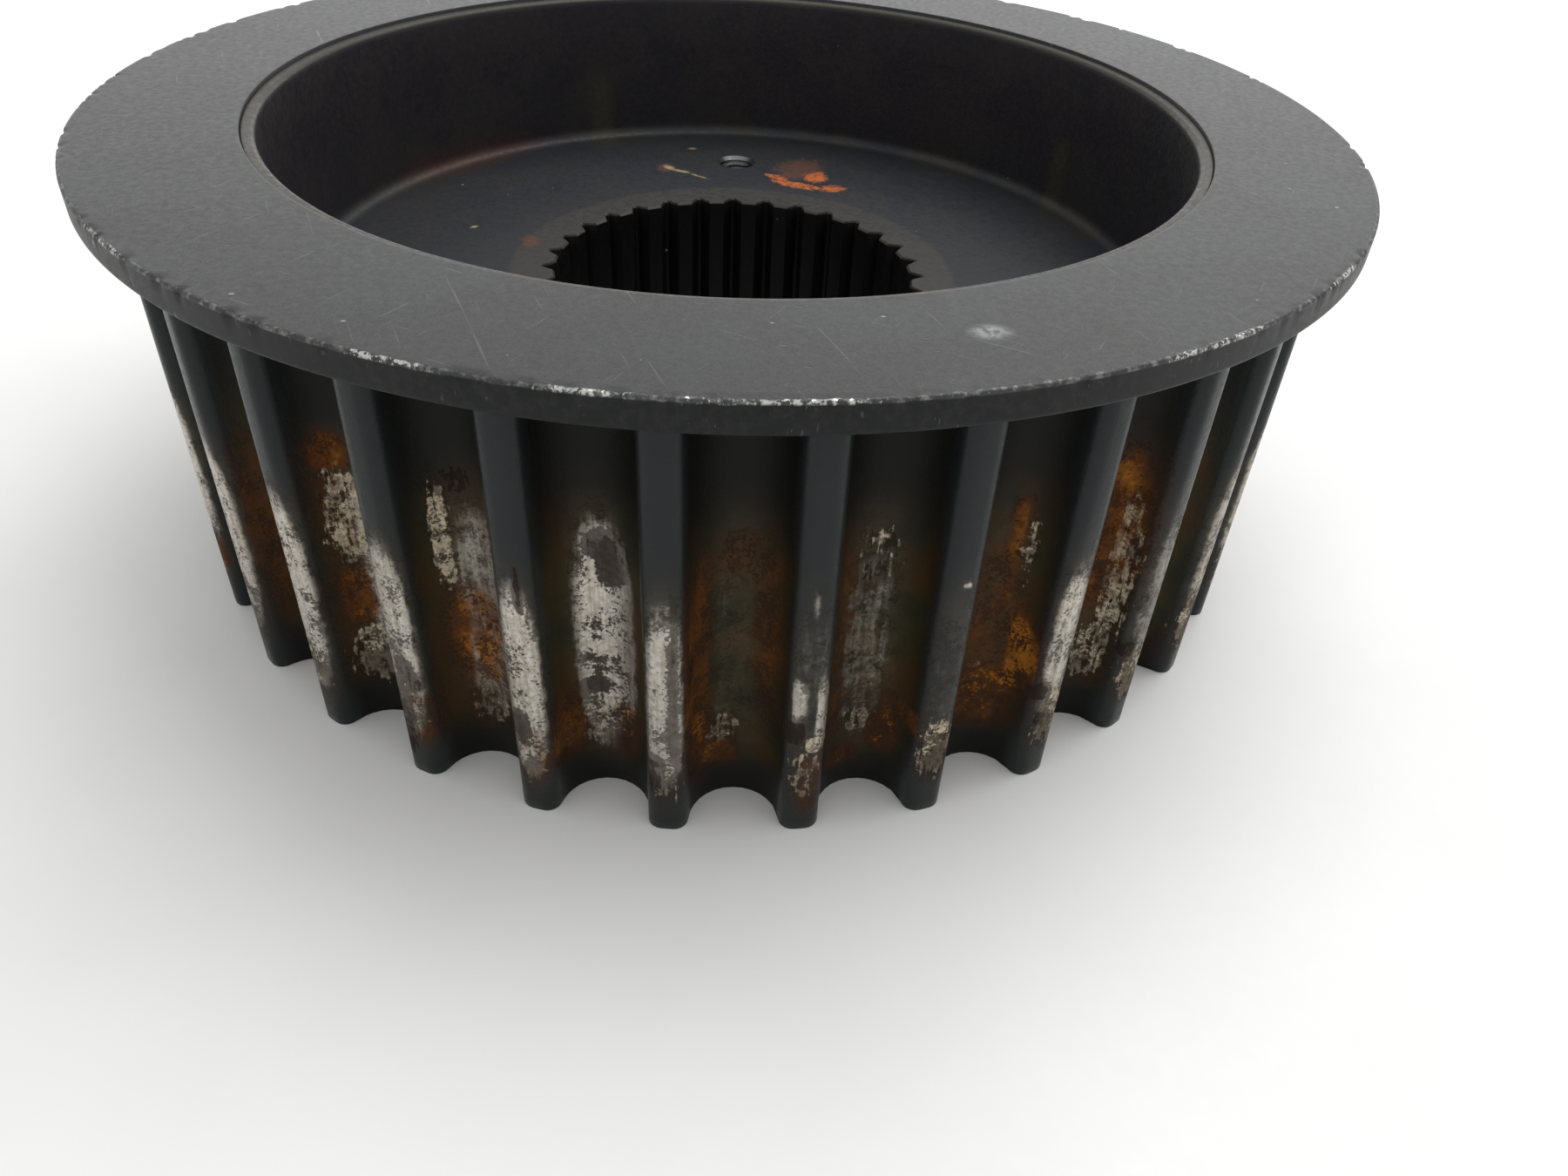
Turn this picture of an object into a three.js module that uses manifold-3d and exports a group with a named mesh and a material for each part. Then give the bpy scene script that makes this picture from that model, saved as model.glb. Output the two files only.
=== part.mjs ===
// Toothed belt pulley with one guide flange: a steel drum with round-bottomed belt grooves,
// a deep recess on the flanged side, a web with a splined hub, and a flat ring flange that
// is held by the drum's rolled lip. Millimetres. The pulley's axis is +Z, the origin is the
// centre of the drum's plain end, and the flange is at the top.

import * as THREE from 'three';
import { mergeVertices } from 'three/addons/utils/BufferGeometryUtils.js';
import Module from 'manifold-3d';

// --- Driving dimensions -------------------------------------------------------------------

// Belt teeth: round-groove profile of 14 mm pitch.
const BELT_PITCH = 14;
const TOOTH_COUNT = 32;
const PITCH_LINE_OFFSET = 1.397;
const GROOVE_DEPTH = 6.05;
const GROOVE_RADIUS = 4.66;
const TIP_RADIUS = 1.5;
const FIRST_TOOTH_ANGLE = THREE.MathUtils.degToRad(-83.4);

// Drum.
const FACE_WIDTH = 49.5;
const RECESS_RADIUS = 55;
const WEB_TOP = 31.1;
const WEB_BOTTOM = 18;
const CORNER_FILLET = 1.5;

// Hub and its internal spline.
const HUB_RADIUS = 36;
const HUB_BACK = 8;
const SPLINE_COUNT = 31;
const SPLINE_MAJOR_RADIUS = 25.1;
const SPLINE_MINOR_RADIUS = 23.5;
const SPLINE_SPACE_AT_MINOR = 0.56;
const SPLINE_SPACE_AT_MAJOR = 0.2;
const FIRST_SPLINE_ANGLE = THREE.MathUtils.degToRad(90.9);

// Two tapped holes for a nut lock plate, on opposite sides of the hub.
const TAPPED_HOLE_RADIUS = 2.6;
const TAPPED_HOLE_MOUTH_RADIUS = 3.1;
const TAPPED_HOLE_CENTRE = 41.2;

// Guide flange and the lip that holds it.
const FLANGE_THICKNESS = 3.1;
const FLANGE_RADIUS = 73.8;
const FLANGE_EDGE_BREAK = 0.35;
const LIP_RADIUS = 56.5;
const LIP_SETBACK = 0.2;
const LIP_CHAMFER = 0.6;
const LIP_ROOT_DEPTH = 6;
const FLANGE_GAP = 0.3;

// Fineness of round shapes, and how far a cutter stands clear of what it cuts.
const RING_STEPS = 96;
const HOLE_STEPS = 20;
const GROOVE_STEPS = 8;
const TIP_STEPS = 3;
const FILLET_STEPS = 3;
const CUTTER_CLEARANCE = 2;
const MERGE_TOLERANCE = 1e-4;

// --- Worked-out dimensions ----------------------------------------------------------------

const TOOTH_ANGLE = (2 * Math.PI) / TOOTH_COUNT;
const DRUM_RADIUS = (BELT_PITCH * TOOTH_COUNT) / (2 * Math.PI) - PITCH_LINE_OFFSET;
const FLANGE_TOP = FACE_WIDTH + FLANGE_THICKNESS;
const FLANGE_BORE_RADIUS = LIP_RADIUS + FLANGE_GAP;
const LIP_TOP = FLANGE_TOP - LIP_SETBACK;

// --- Solid modelling ----------------------------------------------------------------------

const wasm = await Module();
wasm.setup();

/** Turns a closed geometry into a solid that can be joined and cut. */
function solid(geometry) {
  geometry.deleteAttribute('normal');
  geometry.deleteAttribute('uv');
  const merged = mergeVertices(geometry, MERGE_TOLERANCE);
  const corners = merged.index.array;
  const kept = [];
  for (let i = 0; i < corners.length; i += 3) {
    const [a, b, c] = [corners[i], corners[i + 1], corners[i + 2]];
    if (a !== b && b !== c && c !== a) kept.push(a, b, c);
  }
  return new wasm.Manifold(new wasm.Mesh({
    numProp: 3,
    vertProperties: new Float32Array(merged.attributes.position.array),
    triVerts: new Uint32Array(kept),
  }));
}

/** Turns a solid back into a geometry. */
function geometryOf(body) {
  const mesh = body.getMesh();
  const geometry = new THREE.BufferGeometry();
  geometry.setAttribute('position', new THREE.BufferAttribute(mesh.vertProperties, mesh.numProp));
  geometry.setIndex(new THREE.BufferAttribute(mesh.triVerts, 1));
  geometry.computeVertexNormals();
  return geometry;
}

/** A point at a radius and angle. */
function polar(radius, angle) {
  return new THREE.Vector2(radius * Math.cos(angle), radius * Math.sin(angle));
}

/** Points along an arc, from one angle to another. */
function arc(centre, radius, from, to, clockwise, steps) {
  const curve = new THREE.EllipseCurve(centre.x, centre.y, radius, radius, from, to, clockwise);
  return curve.getPoints(steps);
}

/**
 * A solid of revolution about +Z. Its profile's corners run anticlockwise. A profile that
 * starts on the axis also ends on it; any other profile closes on itself.
 */
function turned(corners, steps = RING_STEPS) {
  const profile = corners[0].x === 0 ? corners : [...corners, corners[0]];
  return solid(new THREE.LatheGeometry(profile, steps).rotateX(Math.PI / 2));
}

/** An outline extruded from one height to another. */
function extruded(points, bottom, top) {
  const geometry = new THREE.ExtrudeGeometry(new THREE.Shape(points), {
    depth: top - bottom,
    bevelEnabled: false,
  });
  return solid(geometry.translate(0, 0, bottom));
}

/** A corner of a turned profile. */
function corner(radius, height) {
  return new THREE.Vector2(radius, height);
}

// --- Drum ---------------------------------------------------------------------------------

/** One belt groove and the rounded tooth tips on its two sides. */
function groovePoints(middle) {
  const grooveCentreRadius = DRUM_RADIUS - GROOVE_DEPTH + GROOVE_RADIUS;
  const tipCentreRadius = DRUM_RADIUS - TIP_RADIUS;
  const span = GROOVE_RADIUS + TIP_RADIUS;
  const cosine = (grooveCentreRadius ** 2 + tipCentreRadius ** 2 - span ** 2)
    / (2 * grooveCentreRadius * tipCentreRadius);
  const tipOffset = Math.acos(cosine);
  const groove = polar(grooveCentreRadius, middle);
  const firstTip = polar(tipCentreRadius, middle - tipOffset);
  const lastTip = polar(tipCentreRadius, middle + tipOffset);
  const towardsGroove = groove.clone().sub(firstTip).angle();
  const towardsFirstTip = towardsGroove + Math.PI;
  const fromLastTip = groove.clone().sub(lastTip).angle();
  const towardsLastTip = fromLastTip + Math.PI;
  return [
    ...arc(firstTip, TIP_RADIUS, middle - tipOffset, towardsGroove, false, TIP_STEPS),
    ...arc(groove, GROOVE_RADIUS, towardsFirstTip, towardsLastTip, true, GROOVE_STEPS).slice(1),
    ...arc(lastTip, TIP_RADIUS, fromLastTip, middle + tipOffset, false, TIP_STEPS).slice(1),
  ];
}

/** The drum's toothed outline, one groove after each tooth. */
function toothedOutline() {
  const points = [];
  for (let tooth = 0; tooth < TOOTH_COUNT; tooth += 1) {
    points.push(...groovePoints(FIRST_TOOTH_ANGLE + (tooth + 0.5) * TOOTH_ANGLE));
  }
  return points;
}

/** The internal spline's outline: tapered spaces cut outwards from the minor circle. */
function splineOutline() {
  const step = (2 * Math.PI) / SPLINE_COUNT;
  const points = [];
  for (let space = 0; space < SPLINE_COUNT; space += 1) {
    const middle = FIRST_SPLINE_ANGLE + space * step;
    const mouth = (step * SPLINE_SPACE_AT_MINOR) / 2;
    const root = (step * SPLINE_SPACE_AT_MAJOR) / 2;
    points.push(
      polar(SPLINE_MINOR_RADIUS, middle - mouth),
      polar(SPLINE_MAJOR_RADIUS, middle - root),
      polar(SPLINE_MAJOR_RADIUS, middle + root),
      polar(SPLINE_MINOR_RADIUS, middle + mouth),
    );
  }
  return points;
}

/** The deep round recess above the web, with a filleted floor and a chamfered mouth. */
function frontRecess() {
  const filletCentre = corner(RECESS_RADIUS - CORNER_FILLET, WEB_TOP + CORNER_FILLET);
  return turned([
    corner(0, WEB_TOP),
    ...arc(filletCentre, CORNER_FILLET, -Math.PI / 2, 0, false, FILLET_STEPS),
    corner(RECESS_RADIUS, LIP_TOP - LIP_CHAMFER),
    corner(RECESS_RADIUS + LIP_CHAMFER, LIP_TOP),
    corner(RECESS_RADIUS + LIP_CHAMFER, LIP_TOP + CUTTER_CLEARANCE),
    corner(0, LIP_TOP + CUTTER_CLEARANCE),
  ]);
}

/** The ring-shaped hollow behind the web, between the hub and the rim. */
function backRecess() {
  return turned([
    corner(HUB_RADIUS, -CUTTER_CLEARANCE),
    corner(RECESS_RADIUS, -CUTTER_CLEARANCE),
    corner(RECESS_RADIUS, WEB_BOTTOM),
    corner(HUB_RADIUS, WEB_BOTTOM),
  ]);
}

/** The shallow round hollow that sets the hub's back face in from the drum's end. */
function hubFacing() {
  return turned([
    corner(0, -CUTTER_CLEARANCE),
    corner(HUB_RADIUS + CUTTER_CLEARANCE, -CUTTER_CLEARANCE),
    corner(HUB_RADIUS + CUTTER_CLEARANCE, HUB_BACK),
    corner(0, HUB_BACK),
  ]);
}

/** One tapped hole through the web, with a countersunk mouth. */
function tappedHole(side) {
  const countersink = TAPPED_HOLE_MOUTH_RADIUS - TAPPED_HOLE_RADIUS;
  return turned([
    corner(0, WEB_BOTTOM - CUTTER_CLEARANCE),
    corner(TAPPED_HOLE_RADIUS, WEB_BOTTOM - CUTTER_CLEARANCE),
    corner(TAPPED_HOLE_RADIUS, WEB_TOP - countersink),
    corner(TAPPED_HOLE_MOUTH_RADIUS, WEB_TOP),
    corner(TAPPED_HOLE_MOUTH_RADIUS, WEB_TOP + CUTTER_CLEARANCE),
    corner(0, WEB_TOP + CUTTER_CLEARANCE),
  ], HOLE_STEPS).translate([0, side * TAPPED_HOLE_CENTRE, 0]);
}

/** The thin lip that stands up from the drum's end, through the flange. */
function lipRing() {
  return turned([
    corner(RECESS_RADIUS - CUTTER_CLEARANCE, FACE_WIDTH - LIP_ROOT_DEPTH),
    corner(LIP_RADIUS, FACE_WIDTH - LIP_ROOT_DEPTH),
    corner(LIP_RADIUS, LIP_TOP),
    corner(RECESS_RADIUS - CUTTER_CLEARANCE, LIP_TOP),
  ]);
}

/** The toothed drum with its web, splined hub, tapped holes and flange lip, in one piece. */
function pulleyBody() {
  const drum = extruded(toothedOutline(), 0, FACE_WIDTH).add(lipRing());
  const cutters = [
    frontRecess(),
    backRecess(),
    hubFacing(),
    extruded(splineOutline(), -CUTTER_CLEARANCE, FACE_WIDTH),
    tappedHole(1),
    tappedHole(-1),
  ];
  return geometryOf(cutters.reduce((body, cutter) => body.subtract(cutter), drum));
}

// --- Guide flange -------------------------------------------------------------------------

/** The flat ring flange, seated on the drum's end around the lip, with its edges broken. */
function guideFlange() {
  return geometryOf(turned([
    corner(FLANGE_BORE_RADIUS, FACE_WIDTH),
    corner(FLANGE_RADIUS - FLANGE_EDGE_BREAK, FACE_WIDTH),
    corner(FLANGE_RADIUS, FACE_WIDTH + FLANGE_EDGE_BREAK),
    corner(FLANGE_RADIUS, FLANGE_TOP - FLANGE_EDGE_BREAK),
    corner(FLANGE_RADIUS - FLANGE_EDGE_BREAK, FLANGE_TOP),
    corner(FLANGE_BORE_RADIUS + FLANGE_EDGE_BREAK, FLANGE_TOP),
    corner(FLANGE_BORE_RADIUS, FLANGE_TOP - FLANGE_EDGE_BREAK),
  ]));
}

// --- Assembly -----------------------------------------------------------------------------

/** A named sub-part with its own material. */
function part(name, geometry, color, roughness, metalness) {
  const mesh = new THREE.Mesh(geometry, new THREE.MeshStandardMaterial({ color, roughness, metalness }));
  mesh.name = name;
  return mesh;
}

const pulley = new THREE.Group();
pulley.name = 'toothed_belt_pulley';
pulley.add(part('pulley_body', pulleyBody(), 0x33373a, 0.5, 0.9));
pulley.add(part('guide_flange', guideFlange(), 0x6b6d70, 0.42, 0.9));

export default pulley;
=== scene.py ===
"""A used toothed belt pulley: a grooved steel drum with a splined hub, and its guide flange.

The drum and the flange are built with mesh operators in millimetres and scaled to metres at
the end. The pulley's axis is +Z and it stands on its plain end.
"""

from __future__ import annotations

import logging
import math
import random
from dataclasses import dataclass, field
from enum import Enum
from functools import partial, reduce
from typing import Callable, Iterable, Sequence, Union

import bmesh
import bpy
import numpy as np
from mathutils import Matrix, Vector


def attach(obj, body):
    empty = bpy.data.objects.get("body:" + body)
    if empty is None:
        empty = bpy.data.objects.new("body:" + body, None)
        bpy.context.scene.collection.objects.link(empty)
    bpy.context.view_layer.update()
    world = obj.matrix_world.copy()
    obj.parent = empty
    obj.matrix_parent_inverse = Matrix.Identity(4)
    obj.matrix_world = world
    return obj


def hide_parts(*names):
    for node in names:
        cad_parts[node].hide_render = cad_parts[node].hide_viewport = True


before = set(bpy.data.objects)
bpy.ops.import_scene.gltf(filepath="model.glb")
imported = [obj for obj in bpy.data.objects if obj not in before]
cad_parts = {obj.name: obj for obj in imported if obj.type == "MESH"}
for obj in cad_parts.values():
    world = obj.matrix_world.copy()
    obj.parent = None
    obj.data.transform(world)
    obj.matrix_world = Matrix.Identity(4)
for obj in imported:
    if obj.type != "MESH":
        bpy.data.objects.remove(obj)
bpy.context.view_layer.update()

LOG = logging.getLogger("pulley")

MM = 0.001
AXIS = Vector((0.0, 0.0, 1.0))
CENTRE = Vector((0.0, 0.0, 0.0))
FULL_TURN = 2.0 * math.pi
WELD = 0.002  # millimetres; points closer than this are one point
NEAR = 0.02  # millimetres; how closely a point has to lie on a ring to belong to it
TEETH = 32
SHARP_ANGLE = math.radians(38.0)
BODY = "root"

Socket = bpy.types.NodeSocket
Value = Union[bpy.types.NodeSocket, float, Sequence[float]]
Colour = tuple[float, float, float]


# --- Mesh work ------------------------------------------------------------------------------


def polar(radius: float, angle: float, height: float = 0.0) -> Vector:
    """A point at a radius, an angle in radians and a height."""
    return Vector((radius * math.cos(angle), radius * math.sin(angle), height))


def ends_of(edges: Iterable[bmesh.types.BMEdge]) -> list[bmesh.types.BMVert]:
    """The vertices of some edges, each once, in a steady order."""
    return list(dict.fromkeys(vert for edge in edges for vert in edge.verts))


def add_object(name: str, data: bpy.types.ID) -> bpy.types.Object:
    """Makes an object and links it into the scene."""
    made = bpy.data.objects.new(name, data)
    bpy.context.scene.collection.objects.link(made)
    return made


def verts_of(items: Iterable) -> list[bmesh.types.BMVert]:
    """The vertices among mixed mesh elements."""
    return [item for item in items if isinstance(item, bmesh.types.BMVert)]


def edges_of(items: Iterable) -> list[bmesh.types.BMEdge]:
    """The edges among mixed mesh elements."""
    return [item for item in items if isinstance(item, bmesh.types.BMEdge)]


class Pen:
    """Draws a chain of edges by extruding and spinning its last vertex."""

    def __init__(self, mesh: bmesh.types.BMesh, start: Vector) -> None:
        """Starts a chain.

        Args:
            mesh: The mesh that the chain is drawn in.
            start: Where the chain starts.
        """
        self.mesh = mesh
        self.tip = mesh.verts.new(start)
        self.verts = [self.tip]
        self.edges: list[bmesh.types.BMEdge] = []

    def line(self, target: Vector, steps: int = 1) -> "Pen":
        """Draws a straight line.

        Args:
            target: Where the line ends.
            steps: How many equal edges it has.

        Returns:
            The pen itself.
        """
        stride = (target - self.tip.co) / steps
        for _ in range(steps):
            made = bmesh.ops.extrude_vert_indiv(self.mesh, verts=[self.tip])
            self.tip = made["verts"][0]
            bmesh.ops.translate(self.mesh, verts=[self.tip], vec=stride)
            self.verts.append(self.tip)
            self.edges += made["edges"]
        return self

    def arc(self, centre: Vector, axis: Vector, sweep: float, steps: int) -> "Pen":
        """Draws an arc by spinning the last vertex.

        Args:
            centre: The arc's centre.
            axis: The axis that it turns about.
            sweep: The angle that it turns through, in radians.
            steps: How many edges it has.

        Returns:
            The pen itself.
        """
        known = set(self.mesh.edges)
        made = bmesh.ops.spin(
            self.mesh, geom=[self.tip], cent=centre, axis=axis, dvec=(0, 0, 0),
            angle=sweep, steps=steps, use_merge=False, use_duplicate=False,
        )
        self.tip = verts_of(made["geom_last"])[0]
        fresh = [edge for edge in self.mesh.edges if edge not in known]
        self.edges += fresh
        self.verts += [vert for vert in ends_of(fresh) if vert not in self.verts]
        return self


class ProfilePen(Pen):
    """A pen for the half-sections that are spun about the pulley's axis."""

    TURN = Vector((0.0, -1.0, 0.0))

    def to(self, radius: float, height: float, steps: int = 1) -> "ProfilePen":
        """Draws a straight line to a radius and a height."""
        self.line(Vector((radius, 0.0, height)), steps)
        return self

    def corner(self, radius: float, height: float, degrees: float, steps: int) -> "ProfilePen":
        """Draws a rounded corner about a centre, anticlockwise for positive degrees."""
        self.arc(Vector((radius, 0.0, height)), self.TURN, math.radians(degrees), steps)
        return self

    def spin(self, steps: int, count: int, start: float = 0.0) -> None:
        """Spins the half-section through one sector.

        Args:
            steps: How many steps the sector has.
            count: How many sectors make a full turn.
            start: The angle that the sector starts at, in radians.
        """
        bmesh.ops.rotate(
            self.mesh, verts=self.verts, cent=CENTRE, matrix=Matrix.Rotation(start, 3, "Z")
        )
        bmesh.ops.spin(
            self.mesh, geom=self.verts + self.edges, cent=CENTRE, axis=AXIS, dvec=(0, 0, 0),
            angle=FULL_TURN / count, steps=steps, use_merge=False, use_duplicate=False,
        )


def spin_copies(mesh: bmesh.types.BMesh, geom: list, count: int) -> None:
    """Copies mesh elements round the axis until a full turn holds a number of them."""
    bmesh.ops.spin(
        mesh, geom=geom, cent=CENTRE, axis=AXIS, dvec=(0, 0, 0),
        angle=FULL_TURN * (count - 1) / count, steps=count - 1,
        use_merge=False, use_duplicate=True,
    )


def repeat_sector(mesh: bmesh.types.BMesh, count: int) -> None:
    """Repeats a whole sector round the axis and welds the copies.

    Args:
        mesh: The mesh, which holds one sector. It holds the full turn afterwards.
        count: How many sectors make a full turn.
    """
    spin_copies(mesh, mesh.verts[:] + mesh.edges[:] + mesh.faces[:], count)
    bmesh.ops.remove_doubles(mesh, verts=mesh.verts, dist=WELD)


def join_mesh(mesh: bmesh.types.BMesh, part: bmesh.types.BMesh) -> None:
    """Adds one mesh to another.

    Args:
        mesh: The mesh that grows.
        part: The mesh that is added. It is freed.
    """
    carrier = bpy.data.meshes.new("carrier")
    part.to_mesh(carrier)
    part.free()
    mesh.from_mesh(carrier)
    bpy.data.meshes.remove(carrier)


def repeat_round(mesh: bmesh.types.BMesh, pen: Pen, count: int) -> list[bmesh.types.BMEdge]:
    """Repeats a chain of edges round the axis and welds the copies into one loop.

    Args:
        mesh: The mesh that holds the chain.
        pen: The pen that drew it.
        count: How many copies go round.

    Returns:
        The loop's edges.
    """
    others = set(mesh.edges) - set(pen.edges)
    spin_copies(mesh, pen.verts + pen.edges, count)
    loop = [edge for edge in mesh.edges if edge not in others]
    bmesh.ops.remove_doubles(mesh, verts=ends_of(loop), dist=WELD)
    return [edge for edge in mesh.edges if edge not in others]


def extend_loop(
    mesh: bmesh.types.BMesh,
    edges: list[bmesh.types.BMEdge],
    rise: float,
    growth: float = 1.0,
    about: Vector = CENTRE,
) -> list[bmesh.types.BMEdge]:
    """Extrudes a loop along the axis, and widens or narrows it.

    Args:
        mesh: The mesh that holds the loop.
        edges: The loop's edges.
        rise: How far it moves along the axis.
        growth: The factor that its width changes by.
        about: The point on the axis that it is widened about.

    Returns:
        The new loop's edges.
    """
    made = bmesh.ops.extrude_edge_only(mesh, edges=edges)["geom"]
    moved = verts_of(made)
    bmesh.ops.translate(mesh, verts=moved, vec=(0, 0, rise))
    if growth != 1.0:
        bmesh.ops.scale(
            mesh, verts=moved, vec=(growth, growth, 1.0), space=Matrix.Translation(-about)
        )
    fresh = set(moved)
    return [edge for edge in edges_of(made) if all(v in fresh for v in edge.verts)]


def open_edges(
    mesh: bmesh.types.BMesh, test: Callable[[Vector], bool]
) -> list[bmesh.types.BMEdge]:
    """The open edges whose two ends both pass a test."""
    return [
        edge for edge in mesh.edges
        if len(edge.link_faces) == 1 and all(test(vert.co) for vert in edge.verts)
    ]


def finish_piece(
    mesh: bmesh.types.BMesh, name: str, materials: Sequence[bpy.types.Material]
) -> bpy.types.Object:
    """Welds, orients, scales to metres and links a mesh as a finished piece.

    Args:
        mesh: The mesh, in millimetres. It is freed.
        name: The piece's name.
        materials: The materials in its slots.

    Returns:
        The piece's object, which rides on the pulley's body.
    """
    bmesh.ops.remove_doubles(mesh, verts=mesh.verts, dist=WELD)
    bmesh.ops.dissolve_degenerate(mesh, edges=mesh.edges, dist=WELD / 4)
    bmesh.ops.recalc_face_normals(mesh, faces=mesh.faces)
    gaps = sum(1 for edge in mesh.edges if len(edge.link_faces) != 2)
    for face in mesh.faces:
        face.smooth = True
    for edge in mesh.edges:
        edge.smooth = edge.calc_face_angle(0.0) < SHARP_ANGLE
    bmesh.ops.scale(mesh, verts=mesh.verts, vec=(MM, MM, MM))
    data = bpy.data.meshes.new(name)
    mesh.to_mesh(data)
    mesh.free()
    for material in materials:
        data.materials.append(material)
    piece = add_object(name, data)
    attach(piece, BODY)
    triangles = sum(len(face.vertices) - 2 for face in data.polygons)
    LOG.info("%s: %d triangles, %d open edges", name, triangles, gaps)
    return piece


# --- Belt wear ------------------------------------------------------------------------------


class Mark(Enum):
    """What a mark on the toothed face is made of. The value is the mesh attribute's name."""

    BARE = "bare"
    RUST = "rust"
    CRUST = "crust"
    SCAR = "scar"


@dataclass(frozen=True)
class WearMark:
    """One mark on the toothed face: a soft-edged rounded patch.

    Teeth are counted anticlockwise from the tooth nearest the front, and a groove lies at
    each half. Heights are in millimetres from the plain end.
    """

    mark: Mark
    tooth: float
    height: float
    half_width: float
    half_height: float
    strength: float

    FADE_END = 1.35
    FADE_WIDTH = 0.7

    @classmethod
    def rows(cls, mark: Mark, table: Sequence[tuple[float, ...]]) -> list["WearMark"]:
        """Marks of one kind, from rows of their other fields in order."""
        return [cls(mark, *row) for row in table]

    def strengths(self, tooth: np.ndarray, height: np.ndarray) -> np.ndarray:
        """The mark's strength at each point.

        Args:
            tooth: The points' places round the drum, in teeth.
            height: The points' heights.

        Returns:
            One strength for each point, 0 outside the mark.
        """
        half_turn = TEETH / 2
        away = (tooth - self.tooth + half_turn) % TEETH - half_turn
        across = np.abs(away) / self.half_width
        along = np.abs(height - self.height) / self.half_height
        reach = (across ** 3 + along ** 3) ** (1.0 / 3.0)
        fade = np.clip((self.FADE_END - reach) / self.FADE_WIDTH, 0.0, 1.0)
        return self.strength * fade * fade * (3.0 - 2.0 * fade)


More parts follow.
